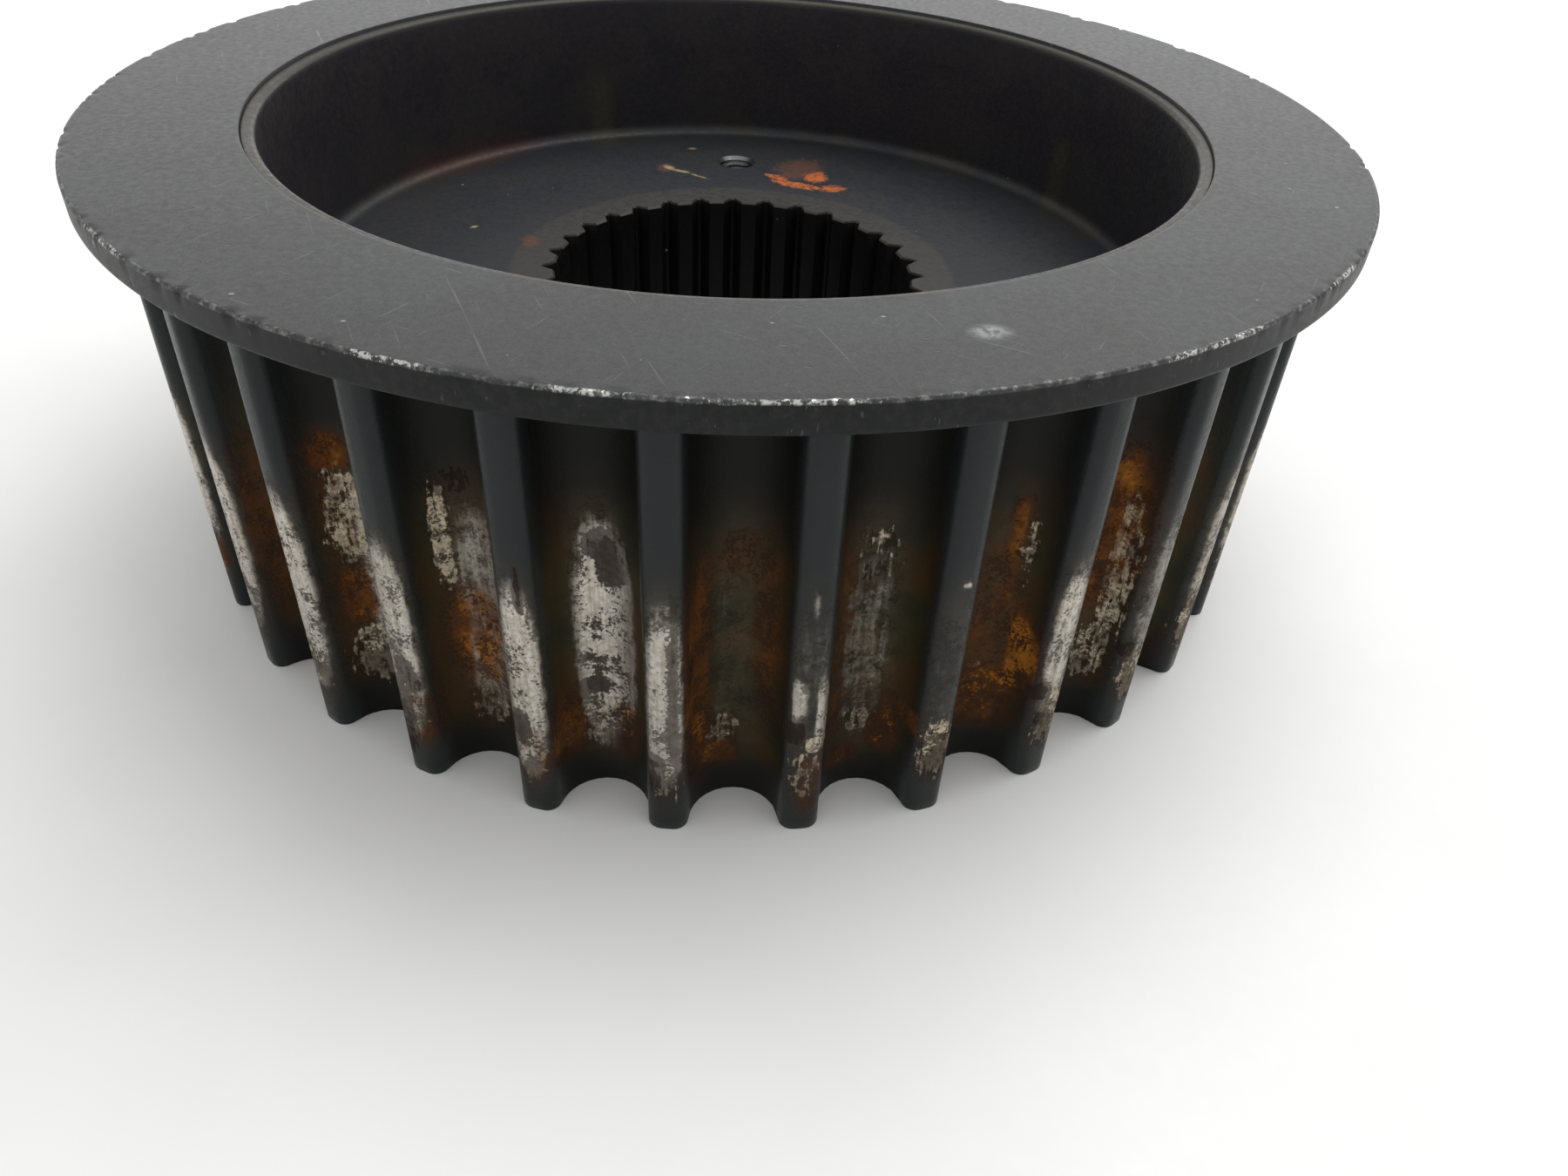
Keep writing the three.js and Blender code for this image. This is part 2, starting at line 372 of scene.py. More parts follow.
@dataclass(frozen=True)
class BeltWear:
    """The polish that the belt left on lands and groove floors, and what has settled on it."""

    low: float = 4.2
    land_top: float = 30.8
    groove_top: float = 35.2
    land_half: float = 0.14
    groove_half: float = 0.235
    first_tooth: int = -8
    unseen_from: int = 4
    unseen_to: int = -5
    seed: int = 14
    lands: dict[int, float] = field(default_factory=lambda: {
        -8: 0.8, -7: 0.85, -6: 0.9, -5: 0.9, -4: 0.95, -3: 0.86, -2: 0.95, -1: 0.82, 0: 0.42,
        1: 0.38, 2: 0.62, 3: 0.55, 4: 0.7, 5: 0.7, 6: 0.6, 7: 0.6,
    })
    grooves: dict[int, float] = field(default_factory=lambda: {
        -8: 0.6, -7: 0.6, -6: 0.6, -5: 0.85, -4: 0.7, -3: 0.62, -2: 0.98, -1: 0.34, 0: 0.5,
        1: 0.22, 2: 0.3, 3: 0.35, 4: 0.4, 5: 0.4, 6: 0.4,
    })
    marks: tuple[WearMark, ...] = (
        *WearMark.rows(Mark.CRUST, (
            (-4.62, 15.0, 0.16, 13.0, 0.9), (-3.72, 26.5, 0.11, 6.5, 0.85),
            (-3.70, 9.0, 0.13, 4.5, 0.85), (-2.74, 29.0, 0.06, 6.5, 0.95),
            (-2.62, 16.2, 0.05, 1.0, 0.9), (-2.52, 15.2, 0.04, 0.8, 0.8),
            (-2.56, 7.5, 0.18, 3.0, 0.75), (-1.60, 9.0, 0.15, 4.0, 0.7),
            (-0.60, 9.0, 0.13, 2.4, 0.75), (0.52, 30.8, 0.18, 3.4, 0.55),
            (0.50, 9.2, 0.13, 1.9, 0.8), (1.75, 28.0, 0.028, 5.8, 1.0),
            (1.55, 13.2, 0.12, 0.7, 0.6), (2.80, 20.0, 0.05, 12.0, 0.8),
            (2.74, 10.0, 0.10, 4.0, 0.8), (0.06, 12.4, 0.09, 1.0, 0.9),
            (1.00, 9.2, 0.13, 4.2, 0.92), (2.02, 8.6, 0.11, 4.2, 0.9),
            (2.99, 8.6, 0.12, 4.4, 0.85), (3.98, 8.0, 0.12, 4.4, 0.8),
        )),
        *WearMark.rows(Mark.RUST, (
            (-4.78, 19.0, 0.08, 12.0, 0.6), (-3.74, 34.0, 0.10, 2.2, 0.80),
            (-3.74, 27.0, 0.10, 5.0, 0.55), (-3.72, 17.0, 0.12, 4.5, 0.80),
            (-2.57, 17.2, 0.21, 7.4, 0.84), (-2.60, 7.0, 0.16, 3.0, 0.6),
            (-1.38, 8.2, 0.12, 4.2, 1.0), (-1.78, 9.5, 0.09, 4.5, 0.7),
            (-0.78, 18.0, 0.10, 14.0, 0.72), (-0.27, 22.0, 0.10, 12.0, 0.62),
            (-0.50, 31.5, 0.20, 2.6, 0.55), (-0.62, 6.0, 0.16, 2.0, 0.85),
            (-0.78, 11.6, 0.05, 1.8, 1.0), (0.30, 20.0, 0.09, 13.0, 0.55),
            (0.70, 8.0, 0.11, 3.0, 1.0), (0.76, 11.8, 0.12, 2.0, 0.7), (0.38, 4.6, 0.16, 1.8, 0.7),
            (1.58, 21.0, 0.22, 9.0, 0.5), (1.60, 9.0, 0.22, 4.6, 0.88),
            (1.79, 15.0, 0.07, 6.0, 1.0), (1.69, 30.0, 0.05, 6.0, 0.75),
            (2.72, 26.0, 0.14, 11.0, 0.76), (3.60, 4.5, 0.22, 3.5, 0.8),
            (-2.92, 8.5, 0.09, 4.0, 0.6), (-1.98, 8.4, 0.12, 4.2, 0.6),
            (0.03, 7.0, 0.10, 4.6, 0.6),
        )),
        *WearMark.rows(Mark.SCAR, (
            (-2.60, 35.0, 0.14, 1.4, 0.6), (-1.44, 29.6, 0.10, 2.6, 0.9),
            (-1.56, 31.0, 0.05, 0.9, 0.8), (-1.62, 13.8, 0.11, 0.8, 0.9),
            (-1.56, 17.1, 0.22, 0.30, 0.58), (0.50, 28.8, 0.15, 1.6, 0.52),
            (-2.99, 15.0, 0.07, 1.0, 0.8), (-2.93, 13.2, 0.06, 1.0, 0.7),
            (-3.08, 7.0, 0.09, 5.0, 0.8), (-2.08, 12.0, 0.08, 1.8, 1.0),
            (-1.96, 29.8, 0.025, 2.6, 0.9), (-1.08, 7.8, 0.05, 2.6, 0.9),
            (-0.93, 19.5, 0.03, 9.5, 0.5), (-0.08, 14.0, 0.08, 1.6, 0.9),
            (1.06, 7.0, 0.07, 2.2, 0.6), (1.90, 12.4, 0.06, 1.2, 1.0), (1.94, 8.6, 0.06, 1.1, 0.9),
            (2.89, 12.0, 0.05, 1.2, 0.9),
        )),
        *WearMark.rows(Mark.BARE, (
            (0.00, 29.6, 0.04, 1.8, 0.62), (-0.08, 18.0, 0.05, 3.4, 0.8),
            (0.10, 16.0, 0.05, 5.0, 0.9), (1.02, 30.2, 0.03, 0.7, 0.85),
            (1.98, 20.0, 0.11, 9.0, 0.8),
        )),
    )

    def unseen_marks(self, teeth: int) -> list[WearMark]:
        """Scattered marks for the teeth round the back.

        Args:
            teeth: The number of teeth.

        Returns:
            A few marks for each tooth that the listed marks leave out.
        """
        dice = random.Random(self.seed)
        made: list[WearMark] = []
        for tooth in range(self.unseen_from, teeth + self.unseen_to):
            for groove in (0.0, 0.5):
                wide = 0.1 if groove == 0.0 else 0.22
                for mark, chance in ((Mark.RUST, 1.0), (Mark.CRUST, 0.8), (Mark.SCAR, 0.7)):
                    if dice.random() > chance:
                        continue
                    tall = dice.uniform(1.0, 4.0) if mark is Mark.SCAR else dice.uniform(2.0, 7.0)
                    made.append(WearMark(
                        mark, tooth + groove + dice.uniform(-wide, wide) * 0.7,
                        dice.uniform(6.0, 32.0) if groove else dice.uniform(5.0, 16.0),
                        dice.uniform(0.3, 0.8) * wide + 0.03, tall, dice.uniform(0.5, 1.0),
                    ))
        return made

    def layers(
        self, teeth: int, tooth: np.ndarray, height: np.ndarray
    ) -> dict[Mark, np.ndarray]:
        """Works out every mark's strength at each point of the toothed face.

        Args:
            teeth: The number of teeth.
            tooth: The points' places round the drum, in teeth.
            height: The points' heights.

        Returns:
            One array of strengths for each kind of mark.
        """
        dice = random.Random(self.seed + 1)
        zones: list[WearMark] = []
        for index in range(self.first_tooth, teeth + self.first_tooth):
            top = self.land_top + dice.uniform(-0.9, 0.9)
            middle, half = (top + self.low) / 2, (top - self.low) / 2 - 0.6
            strength = self.lands.get(index, dice.uniform(0.5, 0.95))
            zones.append(WearMark(Mark.BARE, index, middle, self.land_half, half, strength))
            top = self.groove_top + dice.uniform(-0.5, 0.5)
            middle, half = (top + self.low) / 2, (top - self.low) / 2 - 0.9
            strength = self.grooves.get(index, dice.uniform(0.25, 0.9))
            zones.append(
                WearMark(Mark.BARE, index + 0.5, middle, self.groove_half, half, strength)
            )
            zones.append(WearMark(Mark.CRUST, index, 8.0, 0.13, 3.9, 0.55))
        found = {mark: np.zeros_like(tooth) for mark in Mark}
        for patch in [*zones, *self.marks, *self.unseen_marks(teeth)]:
            found[patch.mark] = np.maximum(found[patch.mark], patch.strengths(tooth, height))
        return found


# --- Shader graphs --------------------------------------------------------------------------


class Graph:
    """Builds a node tree from plain calls."""

    def __init__(self, tree: bpy.types.NodeTree) -> None:
        """Wraps a node tree."""
        self.tree = tree

    def node(self, kind: str, **settings: object) -> bpy.types.Node:
        """Adds a node.

        Args:
            kind: The node's type name, without its leading ShaderNode.
            settings: Properties to set on it.

        Returns:
            The node.
        """
        made = self.tree.nodes.new("ShaderNode" + kind)
        for name, value in settings.items():
            setattr(made, name, value)
        return made

    def feed(self, socket: Socket, value: Value) -> None:
        """Links a socket to another, or sets its own value."""
        if isinstance(value, bpy.types.NodeSocket):
            self.tree.links.new(value, socket)
        elif isinstance(value, (int, float)):
            socket.default_value = value
        else:
            rgba = len(socket.default_value) == 4 and len(value) == 3
            socket.default_value = (*value, 1.0) if rgba else tuple(value)

    def math(
        self, operation: str, first: Value, second: Value = 0.0, clamp: bool = False
    ) -> Socket:
        """Adds a math node and returns its result."""
        made = self.node("Math", operation=operation, use_clamp=clamp)
        self.feed(made.inputs[0], first)
        self.feed(made.inputs[1], second)
        return made.outputs[0]

    def times(self, first: Value, second: Value, clamp: bool = False) -> Socket:
        """Multiplies two values."""
        return self.math("MULTIPLY", first, second, clamp)

    def inverse(self, value: Value, clamp: bool = False) -> Socket:
        """Takes a value from one."""
        return self.math("SUBTRACT", 1.0, value, clamp)

    def total(self, *values: Value) -> Socket:
        """Adds several values up."""
        return reduce(partial(self.math, "ADD"), values)

    def most(self, *values: Value) -> Socket:
        """The largest of several values."""
        return reduce(partial(self.math, "MAXIMUM"), values)

    def ramp(
        self, value: Value, low: float, high: float, out: tuple[float, float] = (0.0, 1.0)
    ) -> Socket:
        """Maps a value smoothly from one range to another.

        Args:
            value: The value to map.
            low: Where the range starts. It may be above high.
            high: Where the range ends.
            out: The results at the range's start and end.

        Returns:
            The mapped value.
        """
        made = self.node("MapRange", interpolation_type="SMOOTHSTEP", clamp=True)
        for index, number in enumerate((value, low, high, *out)):
            self.feed(made.inputs[index], number)
        return made.outputs[0]

    def mix(self, factor: Value, first: Value, second: Value, kind: str = "RGBA") -> Socket:
        """Mixes two colours, or two numbers if kind is FLOAT."""
        made = self.node("Mix", data_type=kind, clamp_factor=True)
        first_input, second_input, output = (6, 7, 2) if kind == "RGBA" else (2, 3, 0)
        self.feed(made.inputs[0], factor)
        self.feed(made.inputs[first_input], first)
        self.feed(made.inputs[second_input], second)
        return made.outputs[output]

    def noise(
        self, place: Value, scale: float, detail: float = 3.0, rough: float = 0.55
    ) -> Socket:
        """Adds a noise texture and returns its value."""
        made = self.node("TexNoise", noise_dimensions="3D")
        self.feed(made.inputs["Vector"], place)
        made.inputs["Scale"].default_value = scale
        made.inputs["Detail"].default_value = detail
        made.inputs["Roughness"].default_value = rough
        return made.outputs["Fac"]

    def stretch(self, place: Value, factors: Sequence[float]) -> Socket:
        """Scales a place along each axis."""
        made = self.node("VectorMath", operation="MULTIPLY")
        self.feed(made.inputs[0], place)
        self.feed(made.inputs[1], factors)
        return made.outputs[0]

    def attribute(self, name: str) -> Socket:
        """Reads a number stored on the mesh."""
        return self.node("Attribute", attribute_name=name).outputs["Fac"]

    def group(self, tree: bpy.types.NodeTree, **inputs: Value) -> bpy.types.Node:
        """Places a node group and feeds its named inputs."""
        made = self.node("Group", node_tree=tree)
        for name, value in inputs.items():
            self.feed(made.inputs[name], value)
        return made

    def mask(self, tree: bpy.types.NodeTree, **inputs: Value) -> Socket:
        """Places a node group that makes a mask, and returns the mask."""
        return self.group(tree, **inputs).outputs["Mask"]


def new_group(
    name: str, inputs: dict[str, float], outputs: Sequence[str]
) -> tuple[Graph, bpy.types.Node, bpy.types.Node]:
    """Starts a shader node group with a Place input.

    Args:
        name: The group's name.
        inputs: Its number inputs with their defaults.
        outputs: Its number outputs.

    Returns:
        Its graph, its input node and its output node.
    """
    tree = bpy.data.node_groups.new(name, "ShaderNodeTree")
    tree.interface.new_socket("Place", in_out="INPUT", socket_type="NodeSocketVector")
    for label, default in inputs.items():
        socket = tree.interface.new_socket(label, in_out="INPUT", socket_type="NodeSocketFloat")
        socket.default_value = default
    for label in outputs:
        kind = "NodeSocketVector" if label == "Millimetres" else "NodeSocketFloat"
        tree.interface.new_socket(label, in_out="OUTPUT", socket_type=kind)
    return Graph(tree), tree.nodes.new("NodeGroupInput"), tree.nodes.new("NodeGroupOutput")


@dataclass(frozen=True)
class Effects:
    """The surface effects that the pulley's finishes share."""

    place: bpy.types.NodeTree
    torn: bpy.types.NodeTree
    pits: bpy.types.NodeTree
    scratches: bpy.types.NodeTree
    specks: bpy.types.NodeTree

    @classmethod
    def build(cls) -> "Effects":
        """Builds every node group once."""
        return cls(
            cls.pulley_place(), cls.torn_edge(), cls.pitting(),
            cls.fine_scratches(), cls.dust_specks(),
        )

    @staticmethod
    def pulley_place() -> bpy.types.NodeTree:
        """Turns Object coordinates into millimetres, a radius and a height."""
        graph, given, result = new_group("pulley_place", {}, ("Millimetres", "Radius", "Height"))
        big = graph.stretch(given.outputs["Place"], (1 / MM, 1 / MM, 1 / MM))
        flat = graph.stretch(big, (1.0, 1.0, 0.0))
        length = graph.node("VectorMath", operation="LENGTH")
        graph.feed(length.inputs[0], flat)
        split = graph.node("SeparateXYZ")
        graph.feed(split.inputs[0], big)
        graph.feed(result.inputs["Millimetres"], big)
        graph.feed(result.inputs["Radius"], length.outputs["Value"])
        graph.feed(result.inputs["Height"], split.outputs["Z"])
        return graph.tree

    @staticmethod
    def torn_edge() -> bpy.types.NodeTree:
        """Turns a soft amount into a mask with a ragged, flaking edge."""
        graph, given, result = new_group(
            "torn_edge", {"Amount": 0.5, "Reach": 0.8, "Softness": 0.1}, ("Mask",)
        )
        place = given.outputs["Place"]
        ragged = graph.times(graph.noise(place, 0.55, 6.0, 0.68), 0.62)
        streaks = graph.noise(graph.stretch(place, (1.6, 1.6, 0.22)), 0.9, 3.0)
        both = graph.math("ADD", ragged, graph.times(streaks, 0.38))
        swing = graph.times(graph.math("SUBTRACT", both, 0.5), given.outputs["Reach"])
        level = graph.total(given.outputs["Amount"], swing, graph.times(swing, 1.6))
        span = graph.math("DIVIDE", graph.math("SUBTRACT", level, 0.5), given.outputs["Softness"])
        graph.feed(result.inputs["Mask"], graph.ramp(span, -1.0, 1.0))
        return graph.tree

    @staticmethod
    def pitting() -> bpy.types.NodeTree:
        """Scattered corrosion pits of mixed size."""
        graph, given, result = new_group("pitting", {"Cover": 0.4}, ("Mask",))
        place = given.outputs["Place"]
        small = graph.noise(place, 2.7, 4.0, 0.7)
        broad = graph.noise(place, 0.42, 2.0)
        level = graph.total(
            graph.times(small, 0.7), graph.times(broad, 0.5),
            graph.times(given.outputs["Cover"], 0.4),
        )
        graph.feed(result.inputs["Mask"], graph.ramp(level, 0.78, 0.85))
        return graph.tree

    @staticmethod
    def fine_scratches() -> bpy.types.NodeTree:
        """Short fine scratches that run in two directions across the axis."""
        graph, given, result = new_group("fine_scratches", {"Cover": 0.5}, ("Mask",))
        masks = []
        for turn, scale in ((0.5, 0.7), (2.1, 0.9), (1.2, 0.5)):
            turned = graph.node("VectorRotate", rotation_type="Z_AXIS")
            graph.feed(turned.inputs["Vector"], given.outputs["Place"])
            turned.inputs["Angle"].default_value = turn
            lines = graph.noise(graph.stretch(turned.outputs[0], (0.16, 5.0, 1.0)), scale, 2.0)
            masks.append(graph.ramp(lines, 0.70, 0.76))
        lines = graph.times(graph.most(*masks), given.outputs["Cover"], True)
        graph.feed(result.inputs["Mask"], lines)
        return graph.tree

    @staticmethod
    def dust_specks() -> bpy.types.NodeTree:
        """Sparse round specks."""
        graph, given, result = new_group("dust_specks", {"Size": 0.16}, ("Mask",))
        cells = graph.node("TexVoronoi", feature="F1", voronoi_dimensions="3D")
        graph.feed(cells.inputs["Vector"], given.outputs["Place"])
        cells.inputs["Scale"].default_value = 0.3
        lucky = graph.node("SeparateColor")
        graph.feed(lucky.inputs[0], cells.outputs["Color"])
        chosen = graph.ramp(lucky.outputs[0], 0.70, 0.72)
        size = graph.times(given.outputs["Size"], lucky.outputs[1])
        near = graph.math("DIVIDE", cells.outputs["Distance"], size)
        graph.feed(
            result.inputs["Mask"],
            graph.times(graph.ramp(near, 1.0, 0.6), chosen),
        )
        return graph.tree


class Surface:
    """A material in the making: its graph, its place nodes and its Principled shader."""

    def __init__(self, name: str, effects: Effects, specular: float = 0.5) -> None:
        """Starts a material.

        Args:
            name: The material's name.
            effects: The shared node groups.
            specular: The shader's specular level.
        """
        self.material = bpy.data.materials.new(name)
        self.material.use_nodes = True
        self.graph = Graph(self.material.node_tree)
        self.material.node_tree.nodes.clear()
        output = self.graph.node("OutputMaterial")
        self.shader = self.graph.node("BsdfPrincipled")
        self.graph.feed(output.inputs["Surface"], self.shader.outputs[0])
        self.shader.inputs["Specular IOR Level"].default_value = specular
        coordinates = self.graph.node("TexCoord")
        mapping = self.graph.node("Mapping")
        self.graph.feed(mapping.inputs["Vector"], coordinates.outputs["Object"])
        located = self.graph.group(effects.place, Place=mapping.outputs[0])
        self.place = located.outputs["Millimetres"]
        self.radius = located.outputs["Radius"]
        self.height = located.outputs["Height"]

    def set(self, colour: Value, roughness: Value, metallic: Value) -> None:
        """Feeds the shader's colour, roughness and metallic."""
        self.graph.feed(self.shader.inputs["Base Color"], colour)
        self.graph.feed(self.shader.inputs["Roughness"], roughness)
        self.graph.feed(self.shader.inputs["Metallic"], metallic)

    def bump(self, height: Value, depth: float, strength: float = 1.0) -> None:
        """Raises the surface by a height map.

        Args:
            height: The map, from 0 to 1.
            depth: Its full height in millimetres.
            strength: How strongly it bends the light.
        """
        made = self.graph.node("Bump")
        made.inputs["Strength"].default_value = strength
        made.inputs["Distance"].default_value = depth * MM
        self.graph.feed(made.inputs["Height"], height)
        self.graph.feed(self.shader.inputs["Normal"], made.outputs["Normal"])

    def spot(self, x: float, y: float, half_x: float, half_y: float, turn: float = 0.0) -> Socket:
        """A soft oval spot seen along the axis.

        Args:
            x: Its centre, in millimetres.
            y: Its centre, in millimetres.
            half_x: Half its length.
            half_y: Half its width.
            turn: The angle that its length is turned by, in degrees.

        Returns:
            A mask that is 1 at the centre and 0 outside.
        """
        mapping = self.graph.node("Mapping", vector_type="TEXTURE")
        self.graph.feed(mapping.inputs["Vector"], self.place)
        mapping.inputs["Location"].default_value = (x, y, 0.0)
        mapping.inputs["Rotation"].default_value = (0.0, 0.0, math.radians(turn))
        mapping.inputs["Scale"].default_value = (half_x, half_y, 1.0)
        flat = self.graph.stretch(mapping.outputs[0], (1.0, 1.0, 0.0))
        length = self.graph.node("VectorMath", operation="LENGTH")
        self.graph.feed(length.inputs[0], flat)
        return self.graph.ramp(length.outputs["Value"], 1.3, 0.3)

    def spots(self, *rows: tuple[float, float, float, float, float]) -> Socket:
        """The strongest of several soft oval spots, each given as for a single one."""
        return self.graph.most(*[self.spot(*row) for row in rows])


# --- Finishes -------------------------------------------------------------------------------


@dataclass(frozen=True)
class WornTeethFinish:
    """Black oxide on the toothed face, worn to bare steel by the belt, with rust and crust."""

    land: Colour = (0.019, 0.021, 0.022)
    groove: Colour = (0.007, 0.007, 0.006)
    olive: Colour = (0.040, 0.036, 0.010)
    umber: Colour = (0.050, 0.024, 0.005)
    dulled: Colour = (0.094, 0.080, 0.050)
    bright: Colour = (0.66, 0.62, 0.56)
    smeared: Colour = (0.29, 0.25, 0.19)
    crust: Colour = (0.60, 0.51, 0.36)
    pit: Colour = (0.024, 0.014, 0.009)
    rust_dark: Colour = (0.052, 0.017, 0.004)
    rust_mid: Colour = (0.130, 0.042, 0.006)
    rust_bright: Colour = (0.40, 0.145, 0.012)

    def material(self, effects: Effects) -> bpy.types.Material:
        """Builds the finish.

        Args:
            effects: The shared node groups.

        Returns:
            The material.
        """
        surface = Surface("worn_teeth", effects, 0.24)
        graph, place = surface.graph, surface.place
        fine = graph.noise(place, 1.5, 5.0, 0.65)
        broad = graph.noise(place, 0.16, 3.0)
        grain = graph.noise(place, 6.0, 2.0)
        streaks = graph.noise(graph.stretch(place, (2.6, 2.6, 0.12)), 1.0, 4.0, 0.6)
        bare = graph.attribute(Mark.BARE.value)
        rust = graph.attribute(Mark.RUST.value)
        crust = graph.attribute(Mark.CRUST.value)
        scar = graph.attribute(Mark.SCAR.value)

        on_land = graph.ramp(surface.radius, 66.6, 69.0)
        oxide = graph.mix(on_land, self.groove, self.land)
        belt_zone = graph.times(
            graph.ramp(surface.height, 40.0, 27.0), graph.ramp(surface.height, 3.0, 8.0)
        )
        stained = graph.times(belt_zone, graph.inverse(on_land))
        stained = graph.times(stained, graph.ramp(broad, 0.25, 0.65, (0.35, 1.0)))
        stain = graph.mix(graph.ramp(broad, 0.4, 0.6), self.olive, self.umber)
        colour = graph.mix(stained, oxide, stain)
        dulled = graph.times(bare, graph.ramp(fine, 0.2, 0.7, (0.45, 0.9)), True)
        dulled = graph.times(dulled, graph.ramp(broad, 0.35, 0.6, (0.35, 1.0)))
        colour = graph.mix(dulled, colour, self.dulled)

        glaze = graph.times(rust, graph.ramp(broad, 0.25, 0.55, (0.6, 1.0)), True)
        colour = graph.mix(graph.times(glaze, 0.8), colour, self.rust_dark)

        metal = graph.mask(
            effects.torn, Place=place, Amount=graph.times(bare, 0.97),
            Reach=0.62, Softness=0.16,
        )
        metal = graph.times(metal, graph.ramp(bare, 0.30, 0.92, (0.05, 1.0)))
        steel = graph.mix(graph.ramp(streaks, 0.22, 0.64, (0.25, 1.0)), self.smeared, self.bright)
        steel = graph.mix(graph.ramp(fine, 0.60, 0.40, (0.0, 0.5)), steel, self.smeared)
        colour = graph.mix(metal, colour, steel)

        flaked = graph.mask(
            effects.torn, Place=graph.stretch(place, (1.9, 1.9, 1.7)),
            Amount=graph.times(crust, 0.70), Reach=0.95, Softness=0.10,
        )
        flaked = graph.times(flaked, graph.ramp(crust, 0.05, 0.3))
        colour = graph.mix(
            flaked, colour, graph.mix(graph.ramp(fine, 0.35, 0.65), self.smeared, self.crust)
        )

        rusted = graph.mask(
            effects.torn, Place=graph.stretch(place, (0.6, 0.6, 0.5)),
            Amount=graph.times(rust, 0.74), Reach=0.75, Softness=0.30,
        )
        rusted = graph.times(rusted, graph.ramp(rust, 0.05, 0.5, (0.0, 0.92)))
        heat = graph.total(
            graph.times(broad, 0.55), graph.times(fine, 0.35),
            graph.times(rust, 0.45),
        )
        rust_colour = graph.mix(graph.ramp(heat, 0.56, 0.78), self.rust_dark, self.rust_mid)
        rust_colour = graph.mix(graph.ramp(heat, 0.76, 0.94), rust_colour, self.rust_bright)
        colour = graph.mix(rusted, colour, rust_colour)

        worn_zone = graph.most(bare, graph.most(crust, rust))
        pitted = graph.mask(
            effects.pits, Place=place,
            Cover=graph.math("ADD", graph.times(scar, 1.5), graph.ramp(
                surface.height, 16.0, 5.0, (0.40, 0.74))),
        )
        scarred = graph.mask(
            effects.torn, Place=graph.stretch(place, (2.2, 2.2, 2.0)),
            Amount=graph.times(scar, 0.85), Reach=0.95, Softness=0.10,
        )
        scarred = graph.times(scarred, graph.ramp(scar, 0.1, 0.4))
        holes = graph.most(graph.times(pitted, worn_zone), scarred)
        colour = graph.mix(graph.times(holes, 0.9), colour, self.pit)

        shine = graph.times(metal, graph.inverse(rusted), True)
        shine = graph.times(shine, graph.inverse(holes), True)
        shine = graph.times(
            shine, graph.inverse(graph.times(flaked, 0.8)), True
        )
        oxide_rough = graph.mix(on_land, 0.55, graph.ramp(fine, 0.3, 0.7, (0.28, 0.40)), "FLOAT")
        rough = graph.mix(shine, oxide_rough, 0.36, "FLOAT")
        rough = graph.mix(graph.most(rusted, holes), rough, 0.86, "FLOAT")
        surface.set(colour, rough, graph.mix(shine, 0.35, 0.95, "FLOAT"))
        relief = graph.total(
            graph.times(grain, 0.10), graph.times(fine, 0.22),
            graph.times(flaked, 0.25), graph.times(rusted, 0.30),
            graph.times(holes, -0.55), graph.times(streaks, 0.10),
        )
        surface.bump(relief, 0.14)
        return surface.material


